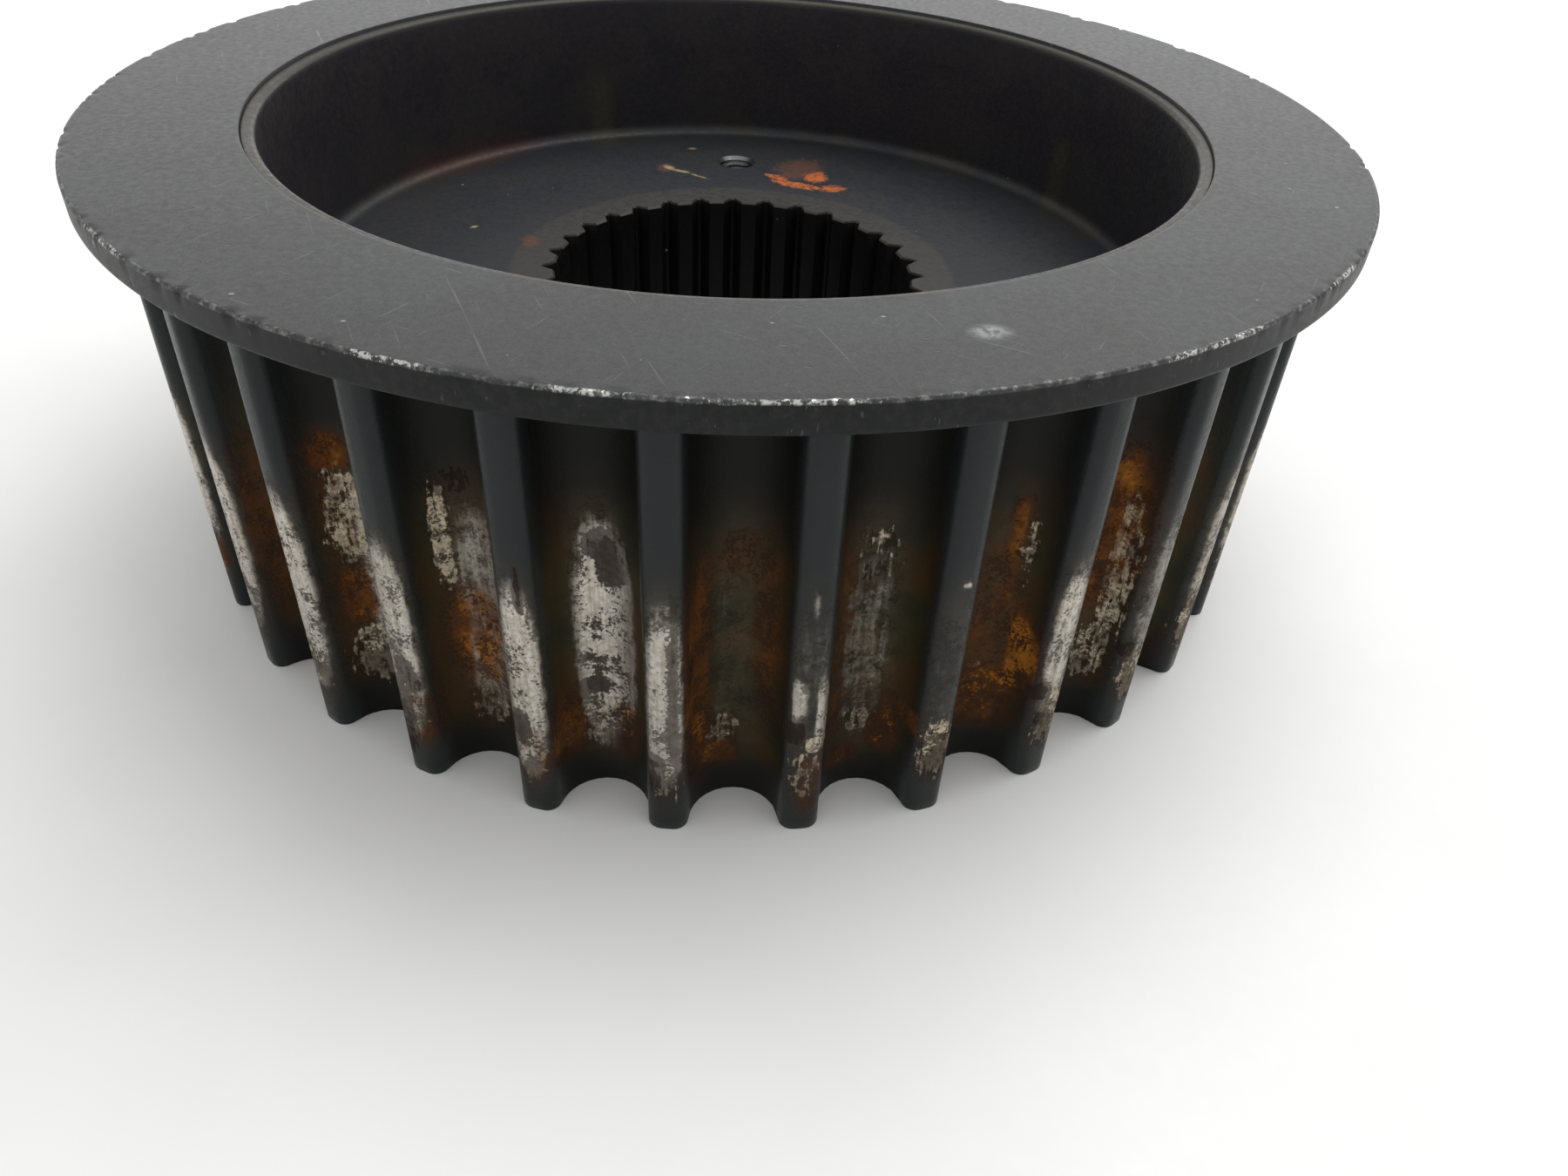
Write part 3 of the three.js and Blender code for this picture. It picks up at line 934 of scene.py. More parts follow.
@dataclass(frozen=True)
class RecessFinish:
    """Black oxide inside the recess: a bluish web, a dark wall, painted shade in the splined bore,
    a painted lit crescent in a tapped hole and rust by the lock plate.
    """

    web: Colour = (0.034, 0.038, 0.046)
    wall: Colour = (0.027, 0.025, 0.030)
    violet: Colour = (0.040, 0.031, 0.042)
    # painted shade: this near-black colour of the splined bore stands in for the shade deep inside
    # the hole
    bore: Colour = (0.005, 0.005, 0.005)
    olive: Colour = (0.052, 0.049, 0.037)
    witness: Colour = (0.062, 0.057, 0.050)
    rust: Colour = (0.50, 0.125, 0.028)
    rust_dark: Colour = (0.120, 0.040, 0.018)
    scale: Colour = (0.40, 0.31, 0.16)
    # pale dust for the specks, and also the painted light of a lit crescent inside a tapped hole
    dust_and_hole_light: Colour = (0.55, 0.58, 0.58)

    def material(self, effects: Effects) -> bpy.types.Material:
        """Builds the finish.

        Args:
            effects: The shared node groups.

        Returns:
            The material.
        """
        surface = Surface("dark_recess", effects, 0.30)
        graph, place = surface.graph, surface.place
        fine = graph.noise(place, 1.3, 5.0, 0.62)
        broad = graph.noise(place, 0.11, 3.0)
        grain = graph.noise(place, 5.0, 2.0)
        radius, height = surface.radius, surface.height
        on_web = graph.times(graph.ramp(radius, 55.0, 54.2), graph.ramp(height, 32.6, 31.8))
        # painted shade: the splined bore's walls below the web's face take the near-black bore
        # colour
        bore_shade = graph.times(graph.ramp(radius, 25.6, 25.3), graph.ramp(height, 31.0, 30.7))
        colour = graph.mix(on_web, self.wall, self.web)
        patchy = graph.ramp(broad, 0.35, 0.62, (0.0, 0.7))
        colour = graph.mix(patchy, colour, graph.mix(0.5, colour, self.olive))
        colour = graph.mix(graph.ramp(fine, 0.45, 0.65, (0.0, 0.35)), colour, self.violet)
        ring = graph.times(
            graph.ramp(radius, 29.6, 28.8), graph.ramp(fine, 0.25, 0.6, (0.45, 0.85))
        )
        colour = graph.mix(graph.times(ring, on_web), colour, self.witness)
        corner = graph.times(graph.ramp(radius, 53.1, 53.7), graph.ramp(height, 33.0, 32.2))
        lip = graph.ramp(height, 51.7, 51.9)
        colour = graph.mix(
            graph.total(
                graph.times(corner, graph.ramp(broad, 0.35, 0.65, (0.0, 0.40))),
                graph.times(lip, graph.ramp(fine, 0.2, 0.7, (0.45, 0.9))),
            ),
            colour, self.olive,
        )
        colour = graph.mix(bore_shade, colour, self.bore)

        in_front = graph.ramp(height, 27.0, 30.0)
        orange = graph.times(in_front, surface.spots(
            (9.6, 31.6, 5.2, 1.6, -22.0), (14.8, 30.6, 2.8, 1.9, 8.0),
            (6.6, 34.6, 2.8, 1.2, -42.0), (12.4, 35.4, 2.6, 3.4, -20.0),
        ))
        brown = graph.times(in_front, surface.spots(
            (10.0, 38.6, 4.6, 6.8, -24.0), (-27.6, 6.1, 1.5, 2.6, 20.0),
            (-11.0, 37.2, 1.8, 2.6, 0.0),
        ))
        smear_high = graph.ramp(height, 36.5, 31.5)
        wall_rust = graph.times(surface.spot(-42.0, 35.4, 17.0, 3.2, 48.0), smear_high)
        smear = graph.times(
            surface.spots((-21.8, 49.6, 2.2, 4.2, 24.0), (48.0, 26.6, 1.9, 1.9, 0.0)),
            graph.ramp(height, 42.5, 39.0),
        )
        # painted light: a lit crescent on the far wall of the tapped hole on +Y, below the web's
        # face, in the pale dust colour
        lit_hole_crescent = graph.times(
            surface.spot(0.0, 43.9, 2.9, 1.1, 0.0), graph.ramp(height, 31.08, 30.98)
        )
        crumbly = graph.mask(
            effects.torn, Place=graph.stretch(place, (1.2, 1.2, 1.2)),
            Amount=graph.times(orange, 0.78), Reach=0.95, Softness=0.22,
        )
        faded = graph.mask(
            effects.torn, Place=place, Amount=graph.times(brown, 0.75),
            Reach=0.8, Softness=0.3,
        )
        colour = graph.mix(graph.times(faded, 0.62), colour, self.rust_dark)
        colour = graph.mix(graph.times(wall_rust, 0.30), colour, self.rust_dark)
        bright_rust = graph.mix(graph.ramp(fine, 0.3, 0.6), self.rust_dark, self.rust)
        rust_cover = graph.times(crumbly, graph.ramp(orange, 0.1, 0.5, (0.0, 0.95)))
        colour = graph.mix(rust_cover, colour, bright_rust)
        line = graph.times(in_front, surface.spots(
            (-10.5, 37.3, 1.3, 0.7, -50.0), (-8.6, 35.9, 1.9, 0.55, -24.0),
            (-5.8, 34.0, 1.9, 0.30, -36.0), (-7.2, 46.7, 0.8, 0.5, 0.0),
            (-36.0, 10.5, 0.7, 0.4, 40.0),
        ))
        worn_line = graph.times(line, graph.ramp(fine, 0.3, 0.55), True)
        colour = graph.mix(graph.times(worn_line, on_web), colour, self.scale)
        smear = graph.times(smear, graph.ramp(fine, 0.2, 0.7, (0.5, 1.0)))
        colour = graph.mix(smear, colour, self.olive)
        colour = graph.mix(graph.times(lit_hole_crescent, 0.30), colour, self.dust_and_hole_light)
        specks = graph.mask(effects.specks, Place=place, Size=0.08)
        colour = graph.mix(graph.times(specks, 0.5), colour, self.dust_and_hole_light)
        scratches = graph.mask(effects.scratches, Place=place, Cover=0.35)
        colour = graph.mix(graph.times(scratches, 0.4), colour, self.witness)

        rusty = graph.most(crumbly, graph.times(faded, 0.6))
        rough = graph.mix(rusty, graph.ramp(fine, 0.3, 0.7, (0.40, 0.56)), 0.85, "FLOAT")
        surface.set(colour, rough, graph.mix(rusty, 0.45, 0.05, "FLOAT"))
        relief = graph.total(
            graph.times(grain, 0.12), graph.times(fine, 0.3),
            graph.times(crumbly, 0.4), graph.times(scratches, -0.25),
        )
        surface.bump(relief, 0.09)
        return surface.material


@dataclass(frozen=True)
class FlangeFinish:
    """Satin dark steel with handling scratches, painted shade on the outer side, and bright chips
    along the outer edge.
    """

    steel: Colour = (0.040, 0.041, 0.043)
    stained: Colour = (0.032, 0.031, 0.030)
    # painted shade: this near-black colour of the outer vertical side stands in for the shade that
    # falls on it
    side: Colour = (0.006, 0.007, 0.007)
    bright: Colour = (0.60, 0.60, 0.58)
    nick: Colour = (0.045, 0.044, 0.042)
    chalk: Colour = (0.62, 0.64, 0.64)
    radius: float = 73.8
    top: float = 52.6

    def material(self, effects: Effects) -> bpy.types.Material:
        """Builds the finish.

        Args:
            effects: The shared node groups.

        Returns:
            The material.
        """
        surface = Surface("flange_satin_steel", effects, 0.35)
        graph, place = surface.graph, surface.place
        radius, height = surface.radius, surface.height
        fine = graph.noise(place, 1.2, 5.0, 0.62)
        broad = graph.noise(place, 0.07, 4.0, 0.6)
        grain = graph.noise(place, 5.5, 2.0)
        colour = graph.mix(graph.ramp(broad, 0.35, 0.68, (0.0, 0.7)), self.steel, self.stained)
        colour = graph.mix(graph.ramp(grain, 0.3, 0.7, (0.0, 0.035)), colour, self.bright)
        # painted shade: the outer vertical side takes a much darker colour than the top, mixed
        # with the stained tone
        shaded_outer_side = graph.times(
            graph.ramp(radius, self.radius - 0.25, self.radius - 0.1),
            graph.ramp(height, self.top - 0.25, self.top - 0.5),
        )
        side = graph.mix(graph.ramp(fine, 0.4, 0.7, (0.0, 0.4)), self.side, self.stained)
        colour = graph.mix(shaded_outer_side, colour, side)

        edge = graph.times(
            graph.ramp(radius, self.radius - 0.50, self.radius - 0.22),
            graph.ramp(height, self.top - 0.50, self.top - 0.22),
        )
        knocked = surface.spots(
            (4.0, -73.7, 9.0, 2.0, 4.0), (57.0, -47.0, 5.0, 1.5, 50.0),
            (-55.5, -48.7, 6.0, 1.5, -49.0), (-11.0, -73.0, 5.0, 1.5, -8.0),
            (-26.0, -69.0, 4.0, 1.4, -21.0), (40.0, -62.0, 8.0, 1.6, 33.0),
        )
        chance = graph.ramp(knocked, 0.0, 0.9, (0.13, 0.47))
        chipped = graph.mask(
            effects.torn, Place=graph.stretch(place, (2.4, 2.4, 4.0)), Amount=chance,
            Reach=0.95, Softness=0.08,
        )
        chips = graph.times(chipped, edge)
        line = graph.times(
            graph.ramp(radius, self.radius - 0.42, self.radius - 0.3),
            graph.ramp(height, self.top - 0.42, self.top - 0.3),
        )
        bright = graph.most(chips, graph.times(line, graph.ramp(fine, 0.45, 0.7, (0.0, 0.30))))

        specks = graph.mask(effects.specks, Place=graph.stretch(place, (1.0, 1.7, 1.0)), Size=0.09)
        scratches = graph.mask(effects.scratches, Place=place, Cover=0.6)
        dents = graph.mask(
            effects.specks, Place=graph.stretch(place, (0.8, 1.6, 1.0)), Size=0.10
        )
        smudge = graph.times(surface.spot(21.1, -61.3, 1.9, 1.4, 10.0), graph.ramp(fine, 0.3, 0.6))
        colour = graph.mix(graph.times(scratches, 0.10), colour, self.chalk)
        colour = graph.mix(graph.times(specks, 0.45), colour, self.chalk)
        shifted = graph.node("Mapping")
        graph.feed(shifted.inputs["Vector"], place)
        shifted.inputs["Location"].default_value = (17.0, 5.0, 3.0)
        marks = graph.mask(
            effects.specks, Place=graph.stretch(shifted.outputs[0], (1.0, 1.9, 1.0)), Size=0.12
        )
        colour = graph.mix(graph.times(marks, 0.6), colour, self.nick)
        colour = graph.mix(graph.times(smudge, 0.42), colour, self.chalk)
        colour = graph.mix(bright, colour, self.bright)

        satin = graph.ramp(fine, 0.3, 0.7, (0.42, 0.52))
        rough = graph.mix(graph.most(bright, scratches), satin, 0.34, "FLOAT")
        rough = graph.mix(smudge, rough, 0.8, "FLOAT")
        metallic = graph.mix(bright, 0.4, 0.95, "FLOAT")
        surface.set(colour, rough, graph.mix(smudge, metallic, 0.1, "FLOAT"))
        relief = graph.total(
            graph.times(grain, 0.05), graph.times(fine, 0.16),
            graph.times(scratches, -0.10), graph.times(dents, -0.35),
            graph.times(chips, -0.6), graph.times(marks, -0.4),
        )
        surface.bump(relief, 0.08)
        return surface.material


@dataclass(frozen=True)
class TableFinish:
    """A pale tabletop with a faint mottle."""

    pale: Colour = (0.88, 0.88, 0.87)
    shaded: Colour = (0.84, 0.84, 0.83)

    def material(self, effects: Effects) -> bpy.types.Material:
        """Builds the finish.

        Args:
            effects: The shared node groups.

        Returns:
            The material.
        """
        surface = Surface("pale_tabletop", effects)
        graph, place = surface.graph, surface.place
        broad = graph.noise(place, 0.02, 4.0)
        fine = graph.noise(place, 0.6, 4.0)
        colour = graph.mix(graph.ramp(broad, 0.3, 0.7), self.pale, self.shaded)
        surface.set(colour, graph.ramp(fine, 0.3, 0.7, (0.5, 0.62)), 0.0)
        surface.bump(fine, 0.02, 0.3)
        return surface.material


# --- Sub-assemblies -------------------------------------------------------------------------


@dataclass
class ToothedDrum:
    """The one-piece steel drum: toothed rim, recess, web, splined hub, tapped holes and lip."""

    pitch: float = 14.0
    teeth: int = TEETH
    pitch_line_offset: float = 1.397
    groove_depth: float = 6.05
    groove_radius: float = 4.66
    tip_radius: float = 1.5
    first_tooth: float = math.radians(-83.4)
    tip_steps: int = 5
    groove_steps: int = 14
    land_steps: int = 2
    face_width: float = 49.5
    seat_gap: float = 0.02
    end_break: float = 0.22
    rim_ring: float = 61.5
    toothed_from: float = 62.0
    foot_height: float = 1.2
    worn_from: float = 2.2
    worn_step: float = 0.8
    worn_rows: int = 43
    plain_heights: tuple[float, ...] = (38.0, 41.0, 45.0)
    recess_radius: float = 55.0
    web_top: float = 31.1
    web_bottom: float = 18.0
    corner_fillet: float = 1.5
    lip_radius: float = 56.5
    lip_top: float = 52.5
    hub_radius: float = 36.0
    hub_back: float = 8.0
    spline_count: int = 31
    spline_major: float = 25.1
    spline_minor: float = 23.5
    spline_root: float = 0.5
    spline_space: float = 0.56
    first_space: float = math.radians(90.9)
    spline_break: float = 0.3
    spline_rows: int = 6
    hub_margin: float = 1.6
    hole_centre: float = 41.2
    hole_mouth: float = 3.1
    thread_radius: float = 2.55
    thread_depth: float = 0.38
    thread_pitch: float = 1.0
    hole_inner: float = 37.6
    hole_outer: float = 44.8
    hole_rows: int = 4
    hole_columns: int = 12
    wear: BeltWear = field(default_factory=BeltWear)

    @property
    def radius(self) -> float:
        """The radius over the tooth tips."""
        return self.pitch * self.teeth / FULL_TURN - self.pitch_line_offset

    @property
    def steps(self) -> int:
        """How many steps go round the rim."""
        return self.teeth * (2 * self.tip_steps + self.groove_steps + self.land_steps)

    @property
    def seat(self) -> float:
        """The height of the face under the flange."""
        return self.face_width - self.seat_gap

    @property
    def hub_rim(self) -> float:
        """The radius where the hub's faces meet the splined bore's own ring."""
        return self.spline_major + self.hub_margin

    @property
    def groove_at(self) -> float:
        """The radius that the grooves' round floors are centred on."""
        return self.radius - self.groove_depth + self.groove_radius

    @property
    def tip_at(self) -> float:
        """The radius that the rounded tooth tips are centred on."""
        return self.radius - self.tip_radius

    @property
    def tip_offset(self) -> float:
        """The angle between a groove's middle and its tooth tips' centres."""
        span = self.groove_radius + self.tip_radius
        near, far = self.groove_at, self.tip_at
        return math.acos((near ** 2 + far ** 2 - span ** 2) / (2 * near * far))

    @property
    def sector_start(self) -> float:
        """The angle where the first groove's outline starts."""
        return self.first_tooth + math.pi / self.teeth - self.tip_offset

    def tooth_outline(self, mesh: bmesh.types.BMesh) -> list[bmesh.types.BMEdge]:
        """Draws one groove with its two tooth tips and one land.

        Args:
            mesh: The mesh to draw in.

        Returns:
            The outline's edges, at the height of the plain end.
        """
        middle = self.first_tooth + math.pi / self.teeth
        offset = self.tip_offset
        groove = polar(self.groove_at, middle)
        first, last = polar(self.tip_at, middle - offset), polar(self.tip_at, middle + offset)
        towards = math.atan2(groove.y - first.y, groove.x - first.x)
        tip_sweep = (towards - (middle - offset)) % FULL_TURN
        away = math.atan2(last.y - groove.y, last.x - groove.x)
        groove_sweep = -((towards + math.pi - away) % FULL_TURN)
        pen = Pen(mesh, polar(self.radius, middle - offset))
        pen.arc(first, AXIS, tip_sweep, self.tip_steps)
        pen.arc(groove, AXIS, groove_sweep, self.groove_steps)
        pen.arc(last, AXIS, tip_sweep, self.tip_steps)
        pen.arc(CENTRE, AXIS, FULL_TURN / self.teeth - 2 * offset, self.land_steps)
        return pen.edges

    def tooth_wall(self, mesh: bmesh.types.BMesh) -> None:
        """Raises one tooth's outline to the flange, finely over the worn height."""
        chain = self.tooth_outline(mesh)
        worn = [self.worn_from + self.worn_step * row for row in range(self.worn_rows)]
        level = 0.0
        for height in [self.foot_height, *worn, *self.plain_heights, self.seat]:
            chain = extend_loop(mesh, chain, height - level)
            level = height

    def close_rim(self, mesh: bmesh.types.BMesh) -> None:
        """Joins one sector's tooth wall to its two sections."""
        for height in (0.0, self.seat):
            rim = open_edges(mesh, lambda spot: (
                abs(spot.z - height) < WELD and spot.xy.length > self.toothed_from
            ))
            ring = open_edges(mesh, lambda spot: (
                abs(spot.z - height) < NEAR and abs(spot.xy.length - self.rim_ring) < NEAR
            ))
            bmesh.ops.bridge_loops(mesh, edges=rim + ring)

    def break_end(self, mesh: bmesh.types.BMesh) -> None:
        """Breaks the sharp edge round the teeth's bottom ends."""
        ends = [
            edge for edge in mesh.edges
            if all(abs(v.co.z) < WELD and v.co.xy.length > self.toothed_from for v in edge.verts)
            and any(abs(face.normal.z) < 0.5 for face in edge.link_faces)
        ]
        bmesh.ops.bevel(
            mesh, geom=ends, offset=self.end_break, offset_type="OFFSET", segments=2,
            profile=0.5, affect="EDGES", material=-1, clamp_overlap=True, loop_slide=True,
        )

    def back_section(self, mesh: bmesh.types.BMesh) -> None:
        """Spins the back: the plain end, the ring-shaped hollow and the hub's back."""
        fillet = self.corner_fillet
        pen = ProfilePen(mesh, Vector((self.rim_ring, 0.0, 0.0)))
        pen.to(self.recess_radius + 0.7, 0.0).to(self.recess_radius + 0.5, 0.0)
        pen.to(self.recess_radius, 0.5).to(self.recess_radius, 1.0)
        pen.to(self.recess_radius, self.web_bottom - fillet, 2)
        pen.corner(self.recess_radius - fillet, self.web_bottom - fillet, 90.0, 4)
        pen.to(self.hole_outer, self.web_bottom)
        pen.to(self.hole_inner, self.web_bottom, self.hole_rows)
        pen.to(self.hub_radius + 1.0, self.web_bottom)
        pen.corner(self.hub_radius + 1.0, self.web_bottom - 1.0, 90.0, 3)
        pen.to(self.hub_radius, self.hub_back + 0.9).to(self.hub_radius, self.hub_back + 0.6)
        pen.to(self.hub_radius - 0.6, self.hub_back).to(self.hub_radius - 0.9, self.hub_back)
        pen.to(self.hub_rim, self.hub_back)
        pen.spin(self.steps // self.teeth, self.teeth, self.sector_start)

    def front_section(self, mesh: bmesh.types.BMesh) -> None:
        """Spins the front: the flange seat, the rolled lip, the recess and the web."""
        fillet = self.corner_fillet
        lip, wall = self.lip_radius, self.recess_radius
        pen = ProfilePen(mesh, Vector((self.rim_ring, 0.0, self.seat)))
        pen.to(lip - 0.05, self.seat)
        pen.to(lip - 0.05, self.lip_top - 0.4)
        pen.corner(lip - 0.15, self.lip_top - 0.4, 86.0, 3)
        pen.to(wall + 0.75, self.lip_top - 0.34, 2)
        pen.corner(wall + 0.68, self.lip_top - 1.0, 80.0, 5)
        pen.to(wall, self.lip_top - 1.3).to(wall, self.web_top + fillet + 0.4, 3)
        pen.to(wall, self.web_top + fillet)
        pen.corner(wall - fillet, self.web_top + fillet, -90.0, 5)
        pen.to(wall - fillet - 0.4, self.web_top).to(self.hole_outer, self.web_top)
        pen.to(self.hole_inner, self.web_top, self.hole_rows)
        pen.to(self.hub_rim, self.web_top)
        pen.spin(self.steps // self.teeth, self.teeth, self.sector_start)

    def spline_tube(self) -> bmesh.types.BMesh:
        """Draws one spline space, repeats it, and runs the splined bore through the hub.

        Returns:
            The bore's wall as an open tube.
        """
        mesh = bmesh.new()
        step = FULL_TURN / self.spline_count
        root_at = self.spline_major - self.spline_root
        mouth = step * self.spline_space / 2
        middle = self.first_space
        pen = Pen(mesh, polar(self.spline_minor, middle - step + mouth))
        pen.arc(CENTRE, AXIS, step - 2 * mouth, 3)
        across = Vector((-math.sin(middle), math.cos(middle), 0.0)) * self.spline_root
        pen.line(polar(root_at, middle) - across, 2)
        pen.arc(polar(root_at, middle), AXIS, math.pi, 6)
        pen.line(polar(self.spline_minor, middle + mouth), 2)
        low = repeat_round(mesh, pen, self.spline_count)
        bottom = self.hub_back + self.spline_break
        bmesh.ops.translate(mesh, verts=mesh.verts, vec=(0, 0, bottom))
        growth = 1.0 + self.spline_break / self.spline_major
        length = self.web_top - self.spline_break - bottom
        loop = low
        for _ in range(self.spline_rows):
            loop = extend_loop(mesh, loop, length / self.spline_rows)
        extend_loop(mesh, loop, self.spline_break, growth)
        extend_loop(mesh, low, -self.spline_break, growth)
        return mesh

    def close_hub(self, mesh: bmesh.types.BMesh) -> None:
        """Fills the hub's two faces between the splined bore and the sections."""
        reach = self.hub_rim + 0.05
        for height, facing in ((self.web_top, 1), (self.hub_back, -1)):
            gap = open_edges(mesh, lambda spot: (
                abs(spot.z - height) < NEAR and spot.xy.length < reach
            ))
            bmesh.ops.triangle_fill(
                mesh, use_beauty=True, use_dissolve=False, edges=gap, normal=(0, 0, facing)
            )

    def hole_patch(
        self, mesh: bmesh.types.BMesh, side: int, height: float
    ) -> list[bmesh.types.BMEdge]:
        """Removes the web's faces round a tapped hole.

        Args:
            mesh: The mesh.
            side: 1 for the hole on +Y and -1 for the one on -Y.
            height: The height of the web's face.

        Returns:
            The edges round the gap.
        """
        half = (self.hole_columns + 0.2) * FULL_TURN / self.steps
        taken = []
        for face in mesh.faces:
            spot = face.calc_center_median()
            away = abs(math.atan2(spot.x, side * spot.y))
            if (
                abs(spot.z - height) < 0.01 and away < half
                and self.hole_inner < spot.xy.length < self.hole_outer
            ):
                taken.append(face)
        border = dict.fromkeys(e for f in taken for e in f.edges)
        gone = set(taken)
        kept = [e for e in border if any(f not in gone for f in e.link_faces)]
        bmesh.ops.delete(mesh, geom=taken, context="FACES")
        return kept

    def threaded_tube(self, side: int) -> bmesh.types.BMesh:
        """Models a tapped hole's wall, with countersunk mouths and a thread.

        Args:
            side: 1 for the hole on +Y and -1 for the one on -Y.

        Returns:
            The wall as an open tube.
        """
        mesh = bmesh.new()
        centre = Vector((0.0, side * self.hole_centre, 0.0))
        segments = 4 * self.hole_columns + 2 * self.hole_rows
        bmesh.ops.create_circle(
            mesh, cap_ends=False, radius=self.hole_mouth, segments=segments,
            matrix=Matrix.Translation(centre + AXIS * self.web_top),
        )
        countersink = self.hole_mouth - self.thread_radius
        narrow = self.thread_radius / self.hole_mouth
        loop = extend_loop(mesh, mesh.edges[:], -countersink, narrow, centre)
        length = self.web_top - self.web_bottom - 2 * countersink
        rows = 4 * round(length / self.thread_pitch)
        for _ in range(rows):
            loop = extend_loop(mesh, loop, -length / rows)
        extend_loop(mesh, loop, -countersink, 1.0 / narrow, centre)
        low, high = self.web_bottom + countersink + 0.1, self.web_top - countersink - 0.1
        for vert in mesh.verts:
            if low < vert.co.z < high:
                arm = (vert.co - centre).xy
                phase = vert.co.z / self.thread_pitch + math.atan2(arm.y, arm.x) / FULL_TURN
                depth = self.thread_depth * (0.5 - 0.5 * math.cos(FULL_TURN * phase))
                vert.co.xy += arm.normalized() * depth
        return mesh

    def close_hole(self, mesh: bmesh.types.BMesh, side: int) -> None:
        """Joins one tapped hole's wall to the web's two faces."""
        centre = Vector((0.0, side * self.hole_centre))
        for height in (self.web_top, self.web_bottom):
            gap = self.hole_patch(mesh, side, height)
            mouth = open_edges(mesh, lambda spot: (
                abs(spot.z - height) < NEAR
                and (spot.xy - centre).length < self.hole_mouth + NEAR
            ))
            bmesh.ops.bridge_loops(mesh, edges=gap + mouth)

    def mark_wear(self, mesh: bmesh.types.BMesh) -> None:
        """Stores the wear on the toothed face as numbers on its vertices."""
        count = len(mesh.verts)
        places = np.array([v.co for v in mesh.verts]).reshape(count, 3)
        angle = np.arctan2(places[:, 1], places[:, 0])
        tooth = (angle - self.first_tooth) / (FULL_TURN / self.teeth)
        found = self.wear.layers(self.teeth, tooth, places[:, 2])
        outside = np.hypot(places[:, 0], places[:, 1]) > self.toothed_from
        for mark, strengths in found.items():
            layer = mesh.verts.layers.float.new(mark.value)
            for vert, strength in zip(mesh.verts, (strengths * outside).tolist()):
                vert[layer] = strength

    def build(self, materials: Sequence[bpy.types.Material]) -> bpy.types.Object:
        """Builds the drum.

        Args:
            materials: The toothed face's finish and the recess's.

        Returns:
            The drum's piece, which stands for the CAD body.
        """
        mesh = bmesh.new()
        self.back_section(mesh)
        self.front_section(mesh)
        self.tooth_wall(mesh)
        self.close_rim(mesh)
        repeat_sector(mesh, self.teeth)
        bmesh.ops.recalc_face_normals(mesh, faces=mesh.faces)
        self.break_end(mesh)
        join_mesh(mesh, self.spline_tube())
        self.close_hub(mesh)
        for side in (1, -1):
            join_mesh(mesh, self.threaded_tube(side))
            self.close_hole(mesh, side)
        self.mark_wear(mesh)
        for face in mesh.faces:
            spot = face.calc_center_median()
            face.material_index = 0 if spot.xy.length > self.recess_radius + 2.0 else 1
        piece = finish_piece(mesh, "toothed_drum", materials)
        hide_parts("pulley_body")
        return piece


@dataclass
class GuideFlange:
    """The flat ring flange, with rounded edges and knocks along its outer edge."""

    thickness: float = 3.1
    seat: float = 49.5
    radius: float = 73.8
    bore: float = 56.53
    edge_round: float = 0.32
    bore_round: float = 0.07
    steps: int = 1440
    sectors: int = 32
    seed: int = 5
    knocks: int = 70
    knock_reach: float = 1.0
    knock_drop: float = 0.9
    knock_sink: float = 0.8
    knock_places: tuple[tuple[float, float, int], ...] = (
        (-92.0, 9.0, 16), (-84.0, 6.0, 12), (-141.0, 4.0, 10), (-43.0, 8.0, 14), (-105.0, 6.0, 6),
    )

    def section(self, mesh: bmesh.types.BMesh) -> None:
        """Spins the flange's closed section."""
        top, outer = self.seat + self.thickness, self.radius
        soft, tight = self.edge_round, self.bore_round
        pen = ProfilePen(mesh, Vector((self.bore, 0.0, self.seat)))
        pen.to(outer - soft - 0.4, self.seat).to(outer - soft, self.seat)
        pen.corner(outer - soft, self.seat + soft, 90.0, 4)
        pen.to(outer, self.seat + soft + 0.2).to(outer, top - soft - 0.2, 2)
        pen.to(outer, top - soft)
        pen.corner(outer - soft, top - soft, 90.0, 4)
        pen.to(outer - soft - 0.25, top).to(outer - soft - 0.6, top)
        pen.to(outer - 1.1, top).to(outer - 1.4, top)
        pen.to(self.bore + tight + 0.3, top).to(self.bore + tight, top)
        pen.corner(self.bore + tight, top - tight, 90.0, 3)
        pen.to(self.bore, self.seat)
        pen.spin(self.steps // self.sectors, self.sectors)
        repeat_sector(mesh, self.sectors)

    def knock_edge(self, mesh: bmesh.types.BMesh) -> None:
        """Presses small seeded knocks into the upper outer edge."""
        dice = random.Random(self.seed)
        spots = [dice.uniform(-180.0, 180.0) for _ in range(self.knocks)]
        for middle, spread, count in self.knock_places:
            spots += [dice.gauss(middle, spread / 2) for _ in range(count)]
        dents = [(spot, dice.uniform(0.25, 0.9), dice.uniform(0.05, 0.26)) for spot in spots]
        top = self.seat + self.thickness
        for vert in mesh.verts:
            length, height = vert.co.xy.length, vert.co.z
            if length < self.radius - self.knock_reach or height < top - self.knock_drop:
                continue
            angle = math.degrees(math.atan2(vert.co.y, vert.co.x))
            depth = 0.0
            for spot, width, deep in dents:
                away = abs((angle - spot + 180.0) % 360.0 - 180.0) / width
                if away < 1.0:
                    depth = max(depth, deep * (1.0 - away * away))
            edge = (length - self.radius + self.knock_reach) * (height - top + self.knock_drop)
            press = min(1.0, max(0.0, edge / self.knock_drop)) * depth
            vert.co.xy -= vert.co.xy.normalized() * press
            vert.co.z -= press * self.knock_sink

    def build(self, material: bpy.types.Material) -> bpy.types.Object:
        """Builds the flange.

        Args:
            material: Its finish.

        Returns:
            The flange's piece, which stands for the CAD flange.
        """
        mesh = bmesh.new()
        self.section(mesh)
        self.knock_edge(mesh)
        piece = finish_piece(mesh, "guide_flange_ring", [material])
        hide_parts("guide_flange")
        return piece


# --- Studio ---------------------------------------------------------------------------------


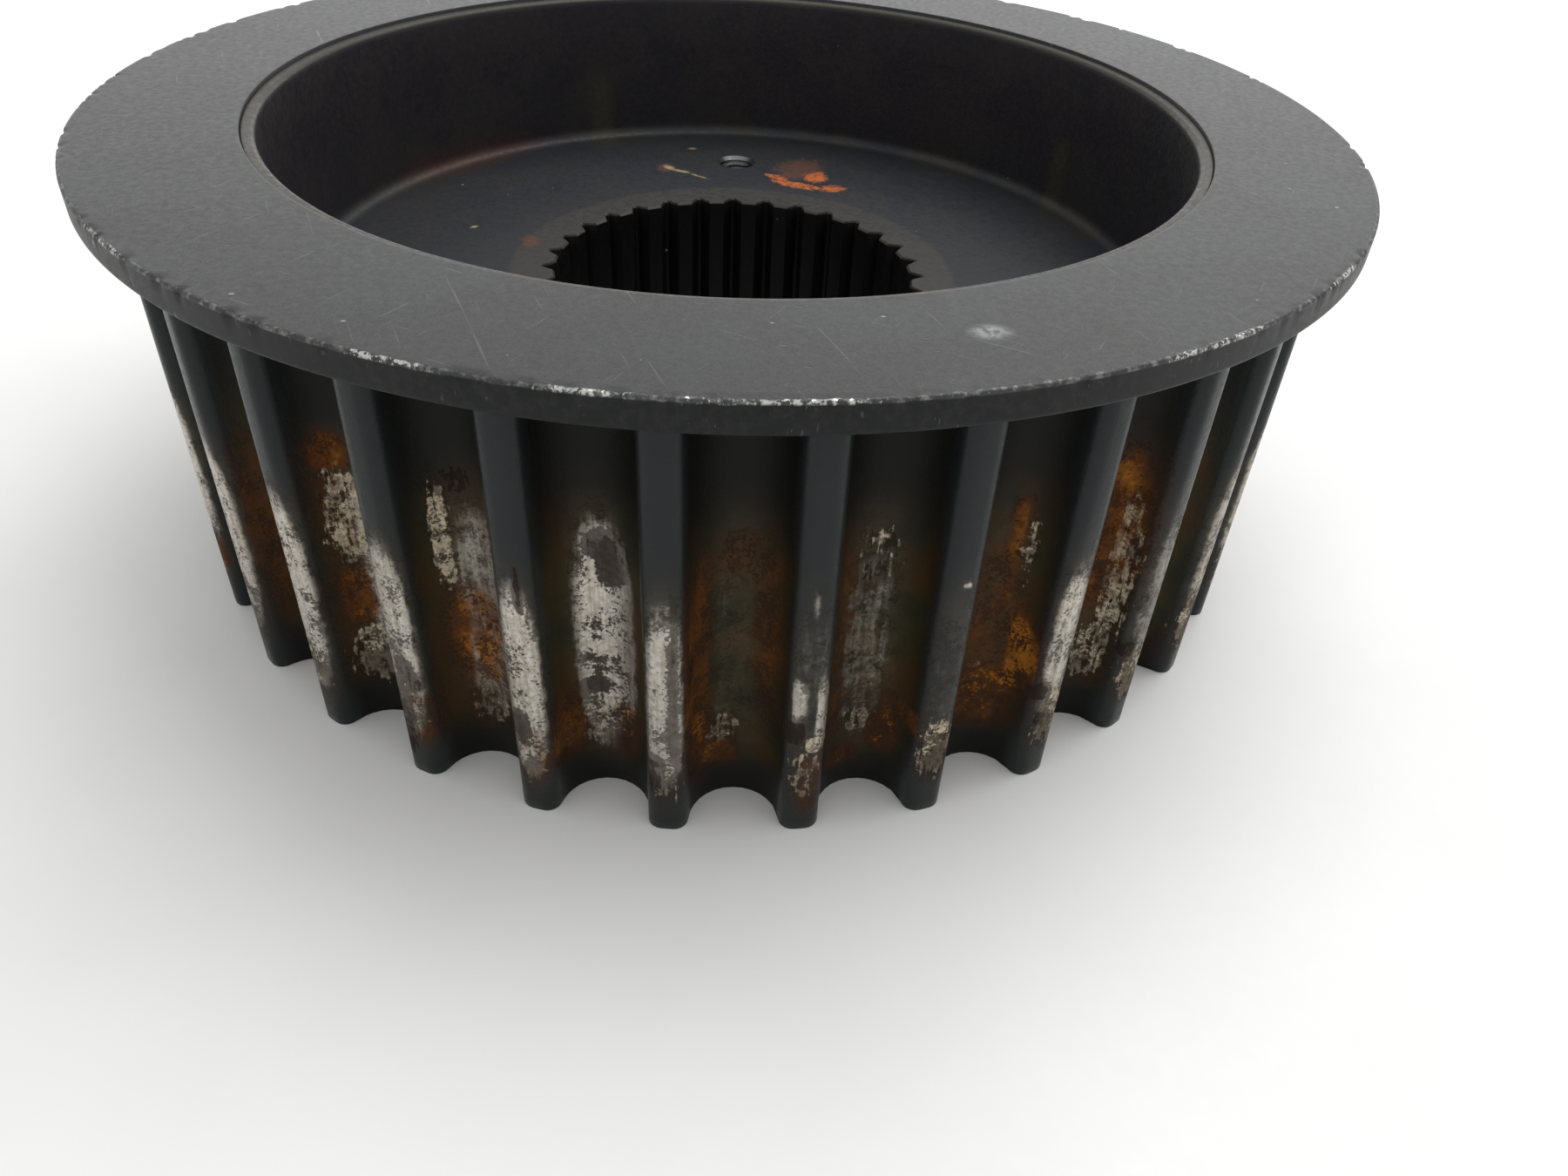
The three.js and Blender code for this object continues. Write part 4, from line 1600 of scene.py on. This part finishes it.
@dataclass(frozen=True)
class Lamp:
    """One soft rectangular light."""

    name: str
    power: float
    size: tuple[float, float]
    place: tuple[float, float, float]
    target: tuple[float, float, float] = (0.0, 0.0, 0.03)

    def build(self) -> bpy.types.Object:
        """Builds the light and aims it."""
        data = bpy.data.lights.new(self.name, "AREA")
        data.shape = "RECTANGLE"
        data.size, data.size_y = self.size
        data.energy = self.power
        lamp = add_object(self.name, data)
        turn = (Vector(self.target) - Vector(self.place)).to_track_quat("-Z", "Y")
        lamp.matrix_world = Matrix.Translation(self.place) @ turn.to_matrix().to_4x4()
        return lamp


@dataclass
class Studio:
    """The pale tabletop, the soft lights and the camera."""

    floor_size: float = 1.6
    floor_gap: float = 0.00005
    world: float = 0.74
    lens: float = 26.962
    sensor: float = 36.0
    camera_place: tuple[float, float, float] = (0.0, -0.14908, 0.09514)
    camera_right: tuple[float, float, float] = (0.99859, -0.0245, 0.04713)
    camera_up: tuple[float, float, float] = (-0.02162, 0.62293, 0.78198)
    camera_back: tuple[float, float, float] = (-0.04852, -0.7819, 0.62152)
    lamps: tuple[Lamp, ...] = (
        Lamp("overhead_softbox", 6.8, (0.9, 0.9), (0.30, 0.26, 0.92)),
        Lamp("backdrop_glow", 6.0, (2.4, 0.5), (0.0, 1.5, 0.30)),
    )

    def build_floor(self, material: bpy.types.Material) -> bpy.types.Object:
        """Builds the tabletop under the pulley."""
        mesh = bmesh.new()
        bmesh.ops.create_grid(mesh, x_segments=4, y_segments=4, size=self.floor_size)
        bmesh.ops.translate(mesh, verts=mesh.verts, vec=(0, 0, -self.floor_gap))
        data = bpy.data.meshes.new("tabletop")
        mesh.to_mesh(data)
        mesh.free()
        data.materials.append(material)
        floor = add_object("tabletop", data)
        return floor

    def build_camera(self) -> bpy.types.Object:
        """Builds the camera and makes it the scene's own."""
        data = bpy.data.cameras.new("main_camera")
        data.lens, data.sensor_width, data.sensor_fit = self.lens, self.sensor, "HORIZONTAL"
        data.clip_start, data.clip_end = 0.005, 20.0
        camera = add_object("main_camera", data)
        axes = Matrix((self.camera_right, self.camera_up, self.camera_back)).transposed()
        camera.matrix_world = Matrix.Translation(self.camera_place) @ axes.to_4x4()
        bpy.context.scene.camera = camera
        return camera

    def build_world(self) -> None:
        """Gives the room an even pale light."""
        world = bpy.data.worlds.new("soft_room")
        world.use_nodes = True
        background = world.node_tree.nodes["Background"]
        background.inputs["Color"].default_value = (1.0, 1.0, 1.0, 1.0)
        background.inputs["Strength"].default_value = self.world
        bpy.context.scene.world = world
        bpy.context.scene.view_settings.view_transform = "Standard"

    def build(self, material: bpy.types.Material) -> None:
        """Builds the floor, lights, camera and room."""
        self.build_floor(material)
        for lamp in self.lamps:
            lamp.build()
        self.build_camera()
        self.build_world()


def main() -> None:
    """Builds the pulley and its studio, one piece after another."""
    logging.basicConfig(level=logging.INFO, format="%(name)s: %(message)s")
    effects = Effects.build()
    teeth = WornTeethFinish().material(effects)
    recess = RecessFinish().material(effects)
    drum = ToothedDrum().build([teeth, recess])
    LOG.info("built %s", drum.name)
    flange = GuideFlange().build(FlangeFinish().material(effects))
    LOG.info("built %s", flange.name)
    Studio().build(TableFinish().material(effects))
    LOG.info("built the studio")


if __name__ == "__main__":
    main()
